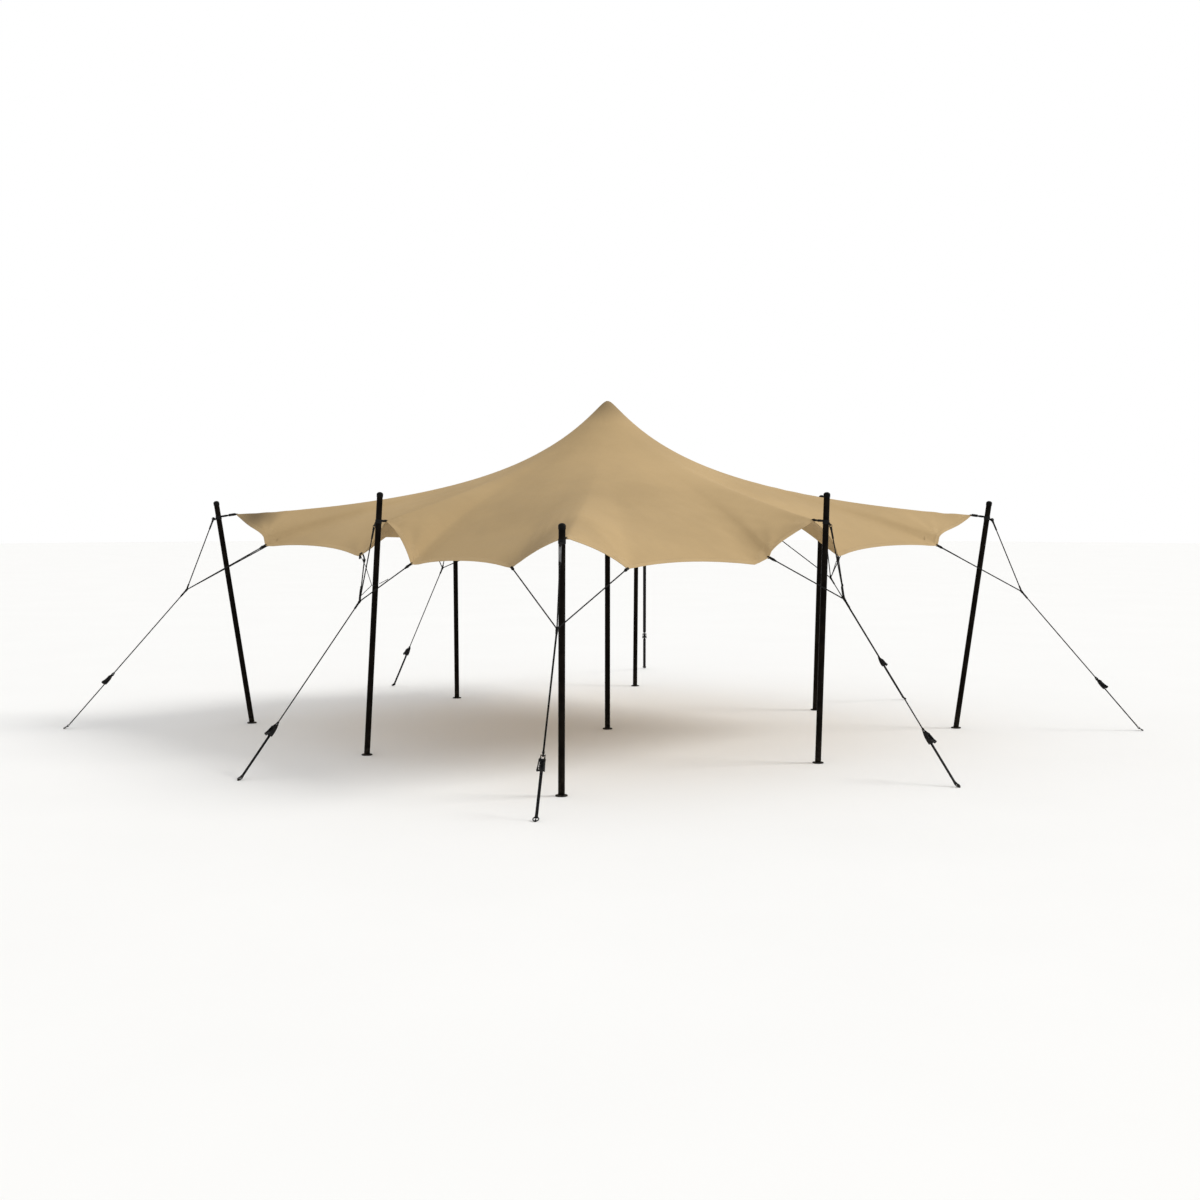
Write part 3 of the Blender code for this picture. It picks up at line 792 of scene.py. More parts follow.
class Tree(Nodes):
    """A Geometry Nodes tree with named inputs, which ends in Realize Instances and Set Material."""

    def __init__(self, name, **inputs):
        super().__init__(bpy.data.node_groups.new(name, "GeometryNodeTree"))
        face = self.tree.interface
        face.new_socket("Geometry", in_out="INPUT", socket_type="NodeSocketGeometry")
        face.new_socket("Geometry", in_out="OUTPUT", socket_type="NodeSocketGeometry")
        self.sockets = {}
        for label, value in inputs.items():
            kind = SOCKET_KINDS[type(value)]
            socket = face.new_socket(label.replace("_", " ").title(), in_out="INPUT", socket_type=kind)
            socket.default_value = value
            self.sockets[label] = socket.identifier
        finish = face.new_socket("Finish", in_out="INPUT", socket_type="NodeSocketMaterial")
        self.sockets["finish"] = finish.identifier
        self.given = self.add("NodeGroupInput").outputs

    def node(self, kind, output=0, settings=None, **values):
        made = self.add(kind, **(settings or {}))
        for name, value in values.items():
            self.put(made.inputs[name.replace("_", " ").title()], value)
        return made.outputs[output]

    def capture(self, label, geometry, value):
        """Keeps a value with the geometry. Returns the outputs Geometry and the label."""
        node = self.add("GeometryNodeCaptureAttribute")
        node.capture_items.new("FLOAT", label)
        self.put(node.inputs["Geometry"], geometry)
        self.put(node.inputs[label], value)
        return node.outputs

    def spaced(self, distance):
        """The incoming curve with its points at equal distances."""
        return self.node("GeometryNodeResampleCurve", settings={"mode": "LENGTH"},
                         curve=self.given["Geometry"], length=distance)

    def end(self, geometry):
        real = self.node("GeometryNodeRealizeInstances", geometry=geometry)
        result = self.node("GeometryNodeSetMaterial", geometry=real, material=self.given["Finish"])
        self.put(self.add("NodeGroupOutput").inputs[0], result)


def grown(name, data, tree, finish, **values):
    """The mesh that a tree makes from a curve or mesh, with the tree's inputs set by their identifiers."""
    source = add_to_scene(name, data)
    modifier = source.modifiers.new("make", "NODES")
    modifier.node_group = tree.tree
    for label, value in {**values, "finish": FINISH[finish]}.items():
        modifier[tree.sockets[label]] = value
    bpy.context.view_layer.update()
    graph = bpy.context.evaluated_depsgraph_get()
    mesh = bpy.data.meshes.new_from_object(source.evaluated_get(graph), depsgraph=graph)
    source.modifiers.remove(modifier)
    bpy.data.objects.remove(source, do_unlink=True)
    return mesh


def rope_tree():
    """Twists strands round every spline. The spline's own point radius is the rope's radius."""
    tree = Tree("twisted rope", strands=3, lay=6.0, step=0.006, sides=6)
    given = tree.given
    copies = tree.add("GeometryNodeDuplicateElements", domain="SPLINE")
    tree.put(copies.inputs["Geometry"], tree.spaced(given["Step"]))
    tree.put(copies.inputs["Amount"], given["Strands"])
    radius = tree.add("GeometryNodeInputRadius").outputs[0]
    distance = tree.add("GeometryNodeSplineParameter").outputs["Length"]
    turns = tree.math("DIVIDE", distance, tree.math("MULTIPLY", given["Lay"], radius))
    turns = tree.math("ADD", turns, tree.math("DIVIDE", copies.outputs["Duplicate Index"], given["Strands"]))
    angle = tree.math("MULTIPLY", turns, math.tau)
    normal = tree.add("GeometryNodeInputNormal").outputs["Normal"]
    tangent = tree.add("GeometryNodeInputTangent").outputs[0]
    other = tree.vector("CROSS_PRODUCT", normal, tangent)
    reach = tree.math("MULTIPLY", radius, 0.52)
    offset = [tree.vector("SCALE", way, scale=tree.math("MULTIPLY", tree.math(wave, angle), reach))
              for way, wave in ((normal, "COSINE"), (other, "SINE"))]
    strand = tree.capture("Length", copies.outputs["Geometry"], distance)
    laid = tree.node("GeometryNodeSetPosition", geometry=strand["Geometry"],
                     offset=tree.vector("ADD", *offset))
    ring = tree.node("GeometryNodeCurvePrimitiveCircle", resolution=given["Sides"], radius=1.0)
    ring = tree.capture("Round", ring, tree.add("GeometryNodeSplineParameter").outputs["Factor"])
    mesh = tree.node("GeometryNodeCurveToMesh", curve=laid, profile_curve=ring["Geometry"],
                     scale=tree.math("MULTIPLY", radius, 0.53), fill_caps=True)
    # U runs up and down again round the strand, so that the map has no seam
    middle = tree.math("SUBTRACT", tree.math("MULTIPLY", ring["Round"], 2.0), 1.0)
    place = tree.add("ShaderNodeCombineXYZ")
    tree.put(place.inputs[0], tree.math("SUBTRACT", 1.0, tree.math("ABSOLUTE", middle)))
    tree.put(place.inputs[1], strand["Length"])
    settings = {"data_type": "FLOAT2", "domain": "CORNER"}
    tree.end(tree.node("GeometryNodeStoreNamedAttribute", settings=settings, geometry=mesh, name="UVMap",
                       value=place.outputs[0]))
    return tree


def stitch_tree():
    """A row of short stitches along every spline."""
    tree = Tree("running stitch", spacing=0.011, length=0.007, thickness=0.0006)
    given = tree.given
    stitch = tree.node("GeometryNodeMeshCylinder", vertices=5, side_segments=1, radius=given["Thickness"],
                       depth=given["Length"])
    tangent = tree.add("GeometryNodeInputTangent").outputs[0]
    turn = tree.node("FunctionNodeAlignRotationToVector", settings={"axis": "Z"}, vector=tangent)
    points = tree.spaced(given["Spacing"])
    tree.end(tree.node("GeometryNodeInstanceOnPoints", points=points, instance=stitch, rotation=turn))
    return tree


def rib_tree():
    """Adds short radial ribs to a turned part, in a ring about its own axis."""
    tree = Tree("radial ribs", count=12, ring_radius=0.035, rib_size=(0.02, 0.003, 0.003), centre=(0, 0, 0))
    given = tree.given
    ring = tree.node("GeometryNodeCurvePrimitiveCircle", resolution=given["Count"],
                     radius=given["Ring Radius"])
    rib = tree.node("GeometryNodeMeshCube", size=given["Rib Size"])
    outward = tree.vector("NORMALIZE", tree.add("GeometryNodeInputPosition").outputs[0])
    turn = tree.node("FunctionNodeAlignRotationToVector", settings={"axis": "X"}, vector=outward)
    ribs = tree.node("GeometryNodeInstanceOnPoints", points=ring, instance=rib, rotation=turn)
    join = tree.add("GeometryNodeJoinGeometry")
    tree.put(join.inputs[0], tree.node("GeometryNodeTransform", geometry=ribs, translation=given["Centre"]))
    tree.put(join.inputs[0], given["Geometry"])
    tree.end(join.outputs[0])
    return tree


def lines(name, paths):
    """A curve object's data with one straight-jointed spline for each (points, radius) pair."""
    data = bpy.data.curves.new(name, "CURVE")
    data.dimensions = "3D"
    for points, radius in paths:
        spline = data.splines.new("POLY")
        spline.points.add(len(points) - 1)
        spline.points.foreach_set("co", [value for p in points for value in (*p, 1.0)])
        spline.points.foreach_set("radius", [radius] * len(points))
    return data


def stitched(name, rows, slot, finish="thread", **sizes):
    """Rows of stitches along lists of points."""
    mesh = grown(name, lines(name, [(row, 1.0) for row in rows]), STITCH, finish, **sizes)
    return placed(name, mesh)


ROPE_TWIST = rope_tree()
STITCH = stitch_tree()
RIBS = rib_tree()


# Canopy

def slope_height(distance):
    rounded = np.hypot(distance, PEAK_ROUNDING)
    share = (SLOPE_RADIUS + PEAK_ROUNDING) / (SLOPE_RADIUS + rounded)
    return SLOPE_LOW + (PEAK_HEIGHT - SLOPE_LOW) * share


def hem_corner(station, neighbour, side):
    tip = station.tip()
    way = neighbour.tip() - tip
    way.z = 0
    corner = tip + way.normalized() * station.reach[side]
    corner.z = station.hem_height[side]
    return corner


def ear_edge(corner, station, side):
    """The ear's cut edge from its tie up to the tip: steep at the tie and flatter towards the tip."""
    rise, early, late = station.ears[side]
    peak = early / (early + late)
    most = peak ** early * (1 - peak) ** late
    points = []
    for step in range(EAR_STEPS + 1):
        share = step / EAR_STEPS
        lift = rise * share ** early * (1 - share) ** late / most
        points.append(corner.lerp(station.tip(), share) + UP * lift)
    return points


def sag(share, lobe):
    """How far the hem hangs at this share of the span away from a tie."""
    depth, power, lowest, roundness = lobe
    return depth * min(1.0, share / lowest) ** roundness * (1 - share) ** power


def span_edge(start, end, first_lobe, second_lobe):
    """The hem between two poles: bowed inwards and arched, and hanging a little beyond each tie."""
    middle = (start + end) / 2
    inward = Vector((-middle.x, -middle.y, 0)).normalized()
    points = []
    for step in range(SPAN_STEPS + 1):
        share = step / SPAN_STEPS
        bow = 4 * share * (1 - share)
        drop = sag(share, first_lobe) + sag(1 - share, second_lobe)
        points.append(start.lerp(end, share) + inward * (HEM_SCALLOP * bow) + UP * (HEM_ARCH * bow - drop))
    return points


class Canopy:
    """The cloth as a grid of points: rings from the peak to the hem, columns round the tent."""

    def __init__(self):
        edge, self.ties = [], {}
        for station in STATIONS:
            before, after = neighbours(station)
            left, right = hem_corner(station, before, 0), hem_corner(station, after, 1)
            self.ties[station.name, "left"] = len(edge)
            edge += ear_edge(left, station, 0)[:-1]
            self.ties[station.name, "tip"] = len(edge)
            edge += ear_edge(right, station, 1)[::-1][:-1]
            self.ties[station.name, "right"] = len(edge)
            edge += span_edge(right, hem_corner(after, station, 0), station.lobes[1], after.lobes[0])[:-1]
        edge = np.array(edge)
        reach = np.hypot(edge[:, 0], edge[:, 1])
        drop = edge[:, 2] - slope_height(reach)
        steps = np.linspace(0, 1, RINGS)
        # The rings lie closer together towards the peak and towards the hem
        eased = steps - 0.55 * np.sin(math.tau * steps) / math.tau
        self.shares = FIRST_RING + (1 - FIRST_RING) * eased
        waves = np.fft.fftfreq(len(edge))
        rings = []
        for share in self.shares:
            # The shape of the hem fades out towards the peak, its small forms first
            softness = RIDGE_SOFTNESS * (1 - share) / HEM_SPACING
            faded = np.fft.ifft(np.fft.fft(drop) * np.exp(-2 * (math.pi * waves * softness) ** 2)).real
            height = slope_height(reach * share) + faded * share ** HEM_BLEND
            rings.append(np.stack([edge[:, 0] * share, edge[:, 1] * share, height], 1))
        self.rings = np.array(rings)
        self.rings[:, :, 2] += folds(self.rings[:, :, 0], self.rings[:, :, 1])
        self.angles = np.unwrap(np.arctan2(edge[:, 1], edge[:, 0]))
        self.hem = self.rings[-1]

    def tie(self, station, place):
        return Vector(self.hem[self.ties[station.name, place]])

    def at(self, x, y):
        """The upper face at a place on the plan."""
        angle = math.atan2(y, x)
        while angle < self.angles[0]:
            angle += math.tau
        while angle >= self.angles[0] + math.tau:
            angle -= math.tau
        column = int(np.searchsorted(self.angles, angle, side="right")) - 1
        after = (column + 1) % len(self.hem)
        a, b = self.hem[column], self.hem[after]
        way = Vector((math.cos(angle), math.sin(angle)))
        side = b[:2] - a[:2]
        bottom = way.x * side[1] - way.y * side[0]
        part = min(1.0, max(0.0, (a[1] * way.x - a[0] * way.y) / -bottom))
        reach = float(np.hypot(*(a[:2] + side * part)))
        share = math.hypot(x, y) / reach
        heights = self.rings[:, column, 2] * (1 - part) + self.rings[:, after, 2] * part
        height = float(np.interp(share, self.shares, heights))
        if share > 1:
            slope = (heights[-1] - heights[-2]) / (self.shares[-1] - self.shares[-2])
            height = float(heights[-1] + slope * (share - 1))
        return Vector((x, y, height))

    def normal(self, x, y, step=0.01):
        away = Vector((x, y)).normalized() * step
        inner = self.at(x - away.x, y - away.y)
        left = self.at(x - away.y * 0.5, y + away.x * 0.5)
        right = self.at(x + away.y * 0.5, y - away.x * 0.5)
        return (right - left).cross(self.at(x, y) - inner).normalized()


# Centre x and y, direction in degrees, half length, half width, pitch and depth of each group of creases
CREASES = [
    (1.95, -0.75, 38, 0.75, 0.45, 0.17, 0.0045),
    (1.05, -1.25, 62, 0.60, 0.30, 0.15, 0.0030),
    (1.40, 1.30, -20, 0.70, 0.35, 0.20, 0.0030),
    (-0.9, -1.7, 15, 0.60, 0.30, 0.18, 0.0030),
    (-1.6, 1.2, 50, 0.80, 0.40, 0.20, 0.0030),
    (2.00, -2.45, 140, 0.42, 0.24, 0.11, 0.0020),
]


def folds(x, y):
    """Tension folds that fan out from the ties, and long shallow creases across the slopes."""
    height = np.zeros_like(x)
    for station in STATIONS:
        before, after = neighbours(station)
        places = ((station.tip(), 7, 0.0060), (hem_corner(station, before, 0), 9, 0.0050),
                  (hem_corner(station, after, 1), 9, 0.0050))
        for number, (place, count, depth) in enumerate(places):
            dx, dy = x - place.x, y - place.y
            away = np.hypot(dx, dy) / FOLD_REACH
            angle = np.arctan2(dy, dx) - math.atan2(-place.y, -place.x)
            fade = away ** 1.2 * np.exp(1.2 * (1 - away))
            height += depth * fade * np.cos(count * angle + number * 1.7 + station.height * 9)
    for centre_x, centre_y, degrees, length, width, pitch, depth in CREASES:
        turn = math.radians(degrees)
        lengthwise = (x - centre_x) * math.cos(turn) + (y - centre_y) * math.sin(turn)
        across = -(x - centre_x) * math.sin(turn) + (y - centre_y) * math.cos(turn)
        bend = across + 0.06 * np.sin(lengthwise * 2.1 + centre_x * 3)
        fade = np.exp(-(lengthwise / length) ** 2 - (across / width) ** 2)
        height += depth * fade * np.cos(math.tau * bend / pitch)
    return height * np.clip(np.hypot(x, y) / 0.4, 0, 1)


CANOPY = Canopy()


def make_canopy():
    rings = CANOPY.rings
    count, columns = rings.shape[:2]
    points = [Vector(p) for ring in rings for p in ring]
    peak = len(points)
    points.append(Vector((0, 0, float(rings[0, :, 2].mean()))))
    faces = []
    for column in range(columns):
        after = (column + 1) % columns
        faces.append((peak, column, after))
        for ring in range(count - 1):
            here, there = ring * columns, (ring + 1) * columns
            faces.append((here + column, there + column, there + after, here + after))
    uvs = [[(points[i].x, points[i].y) for i in face] for face in faces]
    mesh = plain_mesh("canopy_membrane", points, faces, uvs)
    mesh.materials.append(FINISH["cloth"])
    piece = placed("canopy_membrane", mesh, ["canopy"])
    solidify = piece.modifiers.new("cloth", "SOLIDIFY")
    solidify.thickness = CLOTH
    solidify.offset = -1
    return piece


def hem_frames():
    """For each column: edge, normal, the way inwards, and how squarely the column follows that way."""
    hem, count = CANOPY.hem, len(CANOPY.hem)
    frames = []
    for i in range(count):
        edge = Vector(hem[i])
        way = Vector(hem[(i + 1) % count] - hem[i - 1]).normalized()
        inner = Vector(CANOPY.rings[-2, i])
        normal = way.cross(inner - edge).normalized()
        if normal.z < 0:
            normal = -normal
        inward = normal.cross(way).normalized()
        if inward.dot(inner - edge) < 0:
            inward = -inward
        slant = max(0.35, inward.dot((inner - edge).normalized()))
        frames.append((edge, normal, inward, slant))
    return frames


def make_hem():
    """Folded hem with a round bead in its edge, on both faces of the cloth, and its two rows of stitches."""
    # Cross-section as widths inside the edge and heights above the cloth, from the upper face to the lower
    section = [(0.0440, -0.0006), (HEM_WIDTH, 0.0007), (0.0200, 0.0011), (0.0075, 0.0013)]
    bead = [math.radians(d) for d in (120, 75, 40, 0, -40, -75, -120)]
    section += [(0.0012 - 0.0046 * math.cos(a), -0.0016 + 0.0042 * math.sin(a)) for a in bead]
    section += [(0.0075, -CLOTH - 0.0012), (0.0200, -CLOTH - 0.0010), (HEM_WIDTH, -CLOTH - 0.0007),
                (0.0440, -CLOTH + 0.0006)]

    def inside(frame, width, height):
        edge, normal, inward, slant = frame
        if width <= 0.004:
            return edge + inward * width + normal * height
        plan = Vector((edge.x, edge.y))
        place = plan * (1 - width / slant / plan.length)
        return CANOPY.at(place.x, place.y) + normal * height

    frames = hem_frames()
    shape = Shape("patch")
    shape.grid([[inside(frame, w, h) for w, h in section] for frame in frames], "patch", closed_rows=True,
               closed_columns=True)
    hem = finished("canopy_hem", shape, smooth=60)
    rows = [[inside(frame, width, 0.0014) for frame in frames] for width in (0.0100, 0.0360)]
    return hem, stitched("hem_stitches", [[*row, row[0]] for row in rows], "canopy_fabric")


PATCH_REACH = {"left": 0.12, "tip": 0.16, "right": 0.12}
PATCH_FANS = 14
PATCH_RINGS = 5


def make_patches():
    """Doubled cloth at every tie and at the tips, above and below the membrane, with a row of stitches."""
    shape = Shape("patch")
    seams = []
    count = len(CANOPY.hem)
    for station in STATIONS:
        for place, reach in PATCH_REACH.items():
            column = CANOPY.ties[station.name, place]
            corner = CANOPY.hem[column]
            back, ahead = (CANOPY.hem[(column + step) % count] - corner for step in (-2, 2))
            start, end = math.atan2(back[1], back[0]), math.atan2(ahead[1], ahead[0])
            if end > start:
                end -= math.tau

            def spread_point(share, margin, away):
                """A place away from the tie. The margin is the share of the angle left free at each side."""
                angle = start + (end - start) * (margin + (1 - 2 * margin) * share)
                rounded = away * (1 - 0.14 * math.cos(share * math.tau * 2))
                return CANOPY.at(corner[0] + math.cos(angle) * rounded, corner[1] + math.sin(angle) * rounded)

            shares = [fan / PATCH_FANS for fan in range(PATCH_FANS + 1)]
            rows = []
            for ring in range(PATCH_RINGS + 1):
                if ring:
                    row = [spread_point(share, 0.03, reach * (ring / PATCH_RINGS)) for share in shares]
                else:
                    row = [CANOPY.at(corner[0] * 0.998, corner[1] * 0.998)] * len(shares)
                thick = 0.0014 if ring < PATCH_RINGS else -0.0002
                under = [point - UP * (CLOTH * 1.15 + thick) for point in row]
                rows.append([point + UP * thick for point in row] + under[::-1])
            shape.grid(rows, "patch", closed_columns=True)
            seams.append([spread_point(share, 0.05, reach * 0.74) + UP * 0.0021 for share in shares])
    patches = finished("corner_patches", shape, smooth=50)
    return patches, stitched("patch_stitches", seams, "canopy_fabric")


# Poles and feet

def make_pole(name, base, top, cap=True):
    """A tube with a flat end or a rounded cap, which stands on the foot's ball just clear of the foot."""
    lean = math.sqrt(max(0.0, 1 - (top - base).normalized().z ** 2))
    seat = (FOOT_THICKNESS + GAP - BALL_HEIGHT + POLE_RADIUS * lean) / math.sqrt(1 - lean ** 2)
    length, place = (top - base).length, along(base, top)
    shape = Shape("pole", "cap")
    collar = length - CAP_LENGTH
    end = collar if cap else length
    tube = [(0, BORE_DEPTH), (POLE_BORE, BORE_DEPTH), (POLE_BORE, seat), (POLE_RADIUS - 0.0006, seat),
            (POLE_RADIUS, seat + 0.0008)]
    tube += [(POLE_RADIUS, seat + (end - seat) * step / 12) for step in range(1, 12)]
    tube += [(POLE_RADIUS, end - 0.001), (POLE_RADIUS - 0.0008, end), (0, end)]
    shape.lathe(tube, POLE_SIDES, place, "pole")
    if cap:
        dome = CAP_RADIUS * 0.72
        shoulder = length - dome
        groove = CAP_RADIUS - 0.0009
        rim = [(POLE_RADIUS + 0.0004, -0.0020), (CAP_RADIUS - 0.0006, -0.0012), (CAP_RADIUS, 0),
               (CAP_RADIUS, 0.0060), (groove, 0.0072), (groove, 0.0092), (CAP_RADIUS, 0.0104)]
        profile = [(0, collar - 0.002)] + [(radius, collar + height) for radius, height in rim]
        for angle in (math.radians(90 * step / 12) for step in range(12)):
            profile.append((CAP_RADIUS * math.cos(angle), shoulder + dome * math.sin(angle)))
        shape.lathe([*profile, (0, length)], POLE_SIDES, place, "cap")
    dressed(name, shape)


RIB_RING = 0.0388
RIB_SIZE = (0.0094, 0.0026, 0.0044)


def make_foot(name, x, y):
    """A rubber foot: a ball for the pole in a ribbed groove, and a flat rim."""
    shape = Shape("foot")
    meets = math.asin((FOOT_THICKNESS - 0.001 - BALL_HEIGHT) / BALL_RADIUS)
    angles = [math.pi / 2 + (meets - math.pi / 2) * step / 10 for step in range(1, 11)]
    ball = [(BALL_RADIUS * math.cos(a), BALL_HEIGHT + BALL_RADIUS * math.sin(a)) for a in angles]
    top, rim = FOOT_THICKNESS, FOOT_RADIUS
    groove = [(0.0335, top - 0.0010), (0.0345, top - 0.0028), (0.0430, top - 0.0032), (0.0438, top - 0.0010)]
    edge = [(rim - 0.0022, top), (rim - 0.0006, top - 0.0008), (rim, top - 0.0026), (rim, 0.0016),
            (rim - 0.0014, 0)]
    profile = [(0, BALL_HEIGHT + BALL_RADIUS), *ball, *groove, *edge, (0, 0)]
    shape.lathe(profile, 48, shift(x, y, 0), "foot")
    turned = plain_mesh(name, shape.points, shape.faces)
    mesh = grown(name, turned, RIBS, "foot", count=12, ring_radius=RIB_RING, rib_size=RIB_SIZE,
                 centre=(x, y, top - 0.0032))
    placed(f"dressed_{name}", mesh, [name], smooth=40)


def make_peak_head():
    """The pad on the centre pole, shaped like the cloth above it. Returns the height of its lower end."""
    profile = []
    for step in range(13):
        radius = HEAD_RADIUS * step / 12
        profile.append((radius, float(slope_height(radius)) - HEAD_DEPTH * (1 + radius / HEAD_RADIUS)))
    bottom = PEAK_HEIGHT - HEAD_DEPTH - HEAD_LENGTH
    wall = [(HEAD_RADIUS, 0.034), (HEAD_RADIUS - 0.002, 0.031), (HEAD_RADIUS - 0.002, 0.027),
            (HEAD_RADIUS, 0.024), (HEAD_RADIUS, 0.017), (HEAD_RADIUS - 0.0015, 0.0145),
            (POLE_RADIUS + 0.0075, 0.0012), (POLE_RADIUS + 0.006, 0), (0, 0)]
    profile += [(radius, bottom + height) for radius, height in wall]
    shape = Shape("cap")
    shape.lathe(profile, POLE_SIDES, Matrix(), "cap")
    dressed("peak_head", shape)
    return bottom


# Ropes and fittings

def coil(shape, centre, way, radius, cord, turns, pitch):
    """A hitch or whipping wound round a rope."""
    first = way.orthogonal().normalized()
    rise = way * (turns * pitch)
    path = circle(centre - way * (turns * pitch / 2), radius, first, way.cross(first), int(turns * 14) + 1,
                  end=math.tau * turns, rise=rise)
    shape.tube(path, cord, 6, "rope")


def knot(shape, centre, way, size):
    """A pulled-tight hitch: wound turns with one slanting turn over them."""
    coil(shape, centre, way, size * 0.62, size * 0.40, 3.5, size * 0.72)
    first = way.orthogonal().normalized()
    tilted = (way * 0.75 + first).normalized()
    shape.hoop(centre, size * 0.86, tilted, way.cross(first), 19, size * 0.34, 6, "rope")


def whipping(shape, start, way, length, radius):
    """Cord wound closely over a strap or a rope."""
    count = max(4, int(length / 0.0036))
    points = [start + way * (length * k / count) for k in range(count + 1)]
    sizes = [radius * (0.7 if k in (0, count) else 0.94 + 0.10 * (k % 2)) for k in range(count + 1)]
    shape.tube(points, sizes, 10, "rope")


def tab(shape, edge, way, length):
    """A webbing loop sewn to the hem, with a D-shaped ring in its bight. Returns where the rope starts."""
    normal = CANOPY.normal(edge.x * 0.985, edge.y * 0.985)
    edge = edge - normal * 0.001
    inner = CANOPY.at(edge.x - way.x * TAB_GRIP, edge.y - way.y * TAB_GRIP)
    side = way.cross(normal).normalized()
    lift = side.cross(way).normalized()
    if lift.dot(normal) < 0:
        lift = -lift
    gap = 0.0034
    under = normal * -(CLOTH + 0.0044)
    near, far, bight = (edge + way * (length * share) for share in (0.4, 0.7, 1.0))
    path = [inner + normal * 0.0030, edge + normal * 0.0040 + way * 0.001]
    path += [near + lift * 0.0036, far + lift * gap]
    path += circle(bight, gap, lift, way, 7, end=math.pi)
    path += [far - lift * gap, near - lift * 0.0042, edge + under + way * 0.001, inner + under * 0.9]
    shape.strip(path, TAB_WIDTH, TAB_THICKNESS, side)
    half = TAB_WIDTH / 2
    ring = [bight + side * (half * t) for t in (-1, -0.5, 0, 0.5, 1)]
    ring += circle(bight + way * 0.003, half, side, way, 11, end=math.pi)
    shape.tube(ring, 0.0030, 8, "zinc", closed=True)
    return bight + way * 0.005


def sling(shape, middle, axis, towards, width):
    """A flat strap round the pole whose two ends meet at a point beside it."""
    reach = POLE_RADIUS + GAP + 0.0016
    first = (towards - middle).normalized()
    touch = math.acos(min(0.999, reach / (towards - middle).length))
    loop = circle(middle, reach, first, axis.cross(first), 25, start=touch, end=math.tau - touch)
    shape.strip([towards, *loop, towards + first * 0.001], width, SLING_THICKNESS, axis)


# Thin loose cords and one arched link, as shares of the way from the knot to the left and the right tie
LOOSE_CORDS = {
    "front_left": [[(0.96, 0.02), (0.664, 0.115), (0.156, 0.238), (0.096, 0.019)],
                   [(0.156, 0.238), (0.084, 0.318)], [(0.069, 0.385), (0.030, 0.560)]],
    "front_right": [[(0.0, 0.95), (0.041, 0.818), (0.137, 0.404)]],
}
ARCHED_LINK = [(1.0, 0.0), (1.034, 0.004), (1.030, 0.035), (0.976, 0.0585), (0.90, 0.080), (0.83, 0.0885)]

# Guys of webbing instead of rope: width and thickness
GUY_WEBBING = {"front": (0.0170, 0.0045), "back": (0.0440, 0.0030)}

# The grey webbing below the near corner's ring: distance along the rope and height over it
GREY_WEBBING = [(-0.012, 0.004), (0.01, 0.007), (0.05, 0.008), (0.1, 0.0065), (0.135, 0.003)]


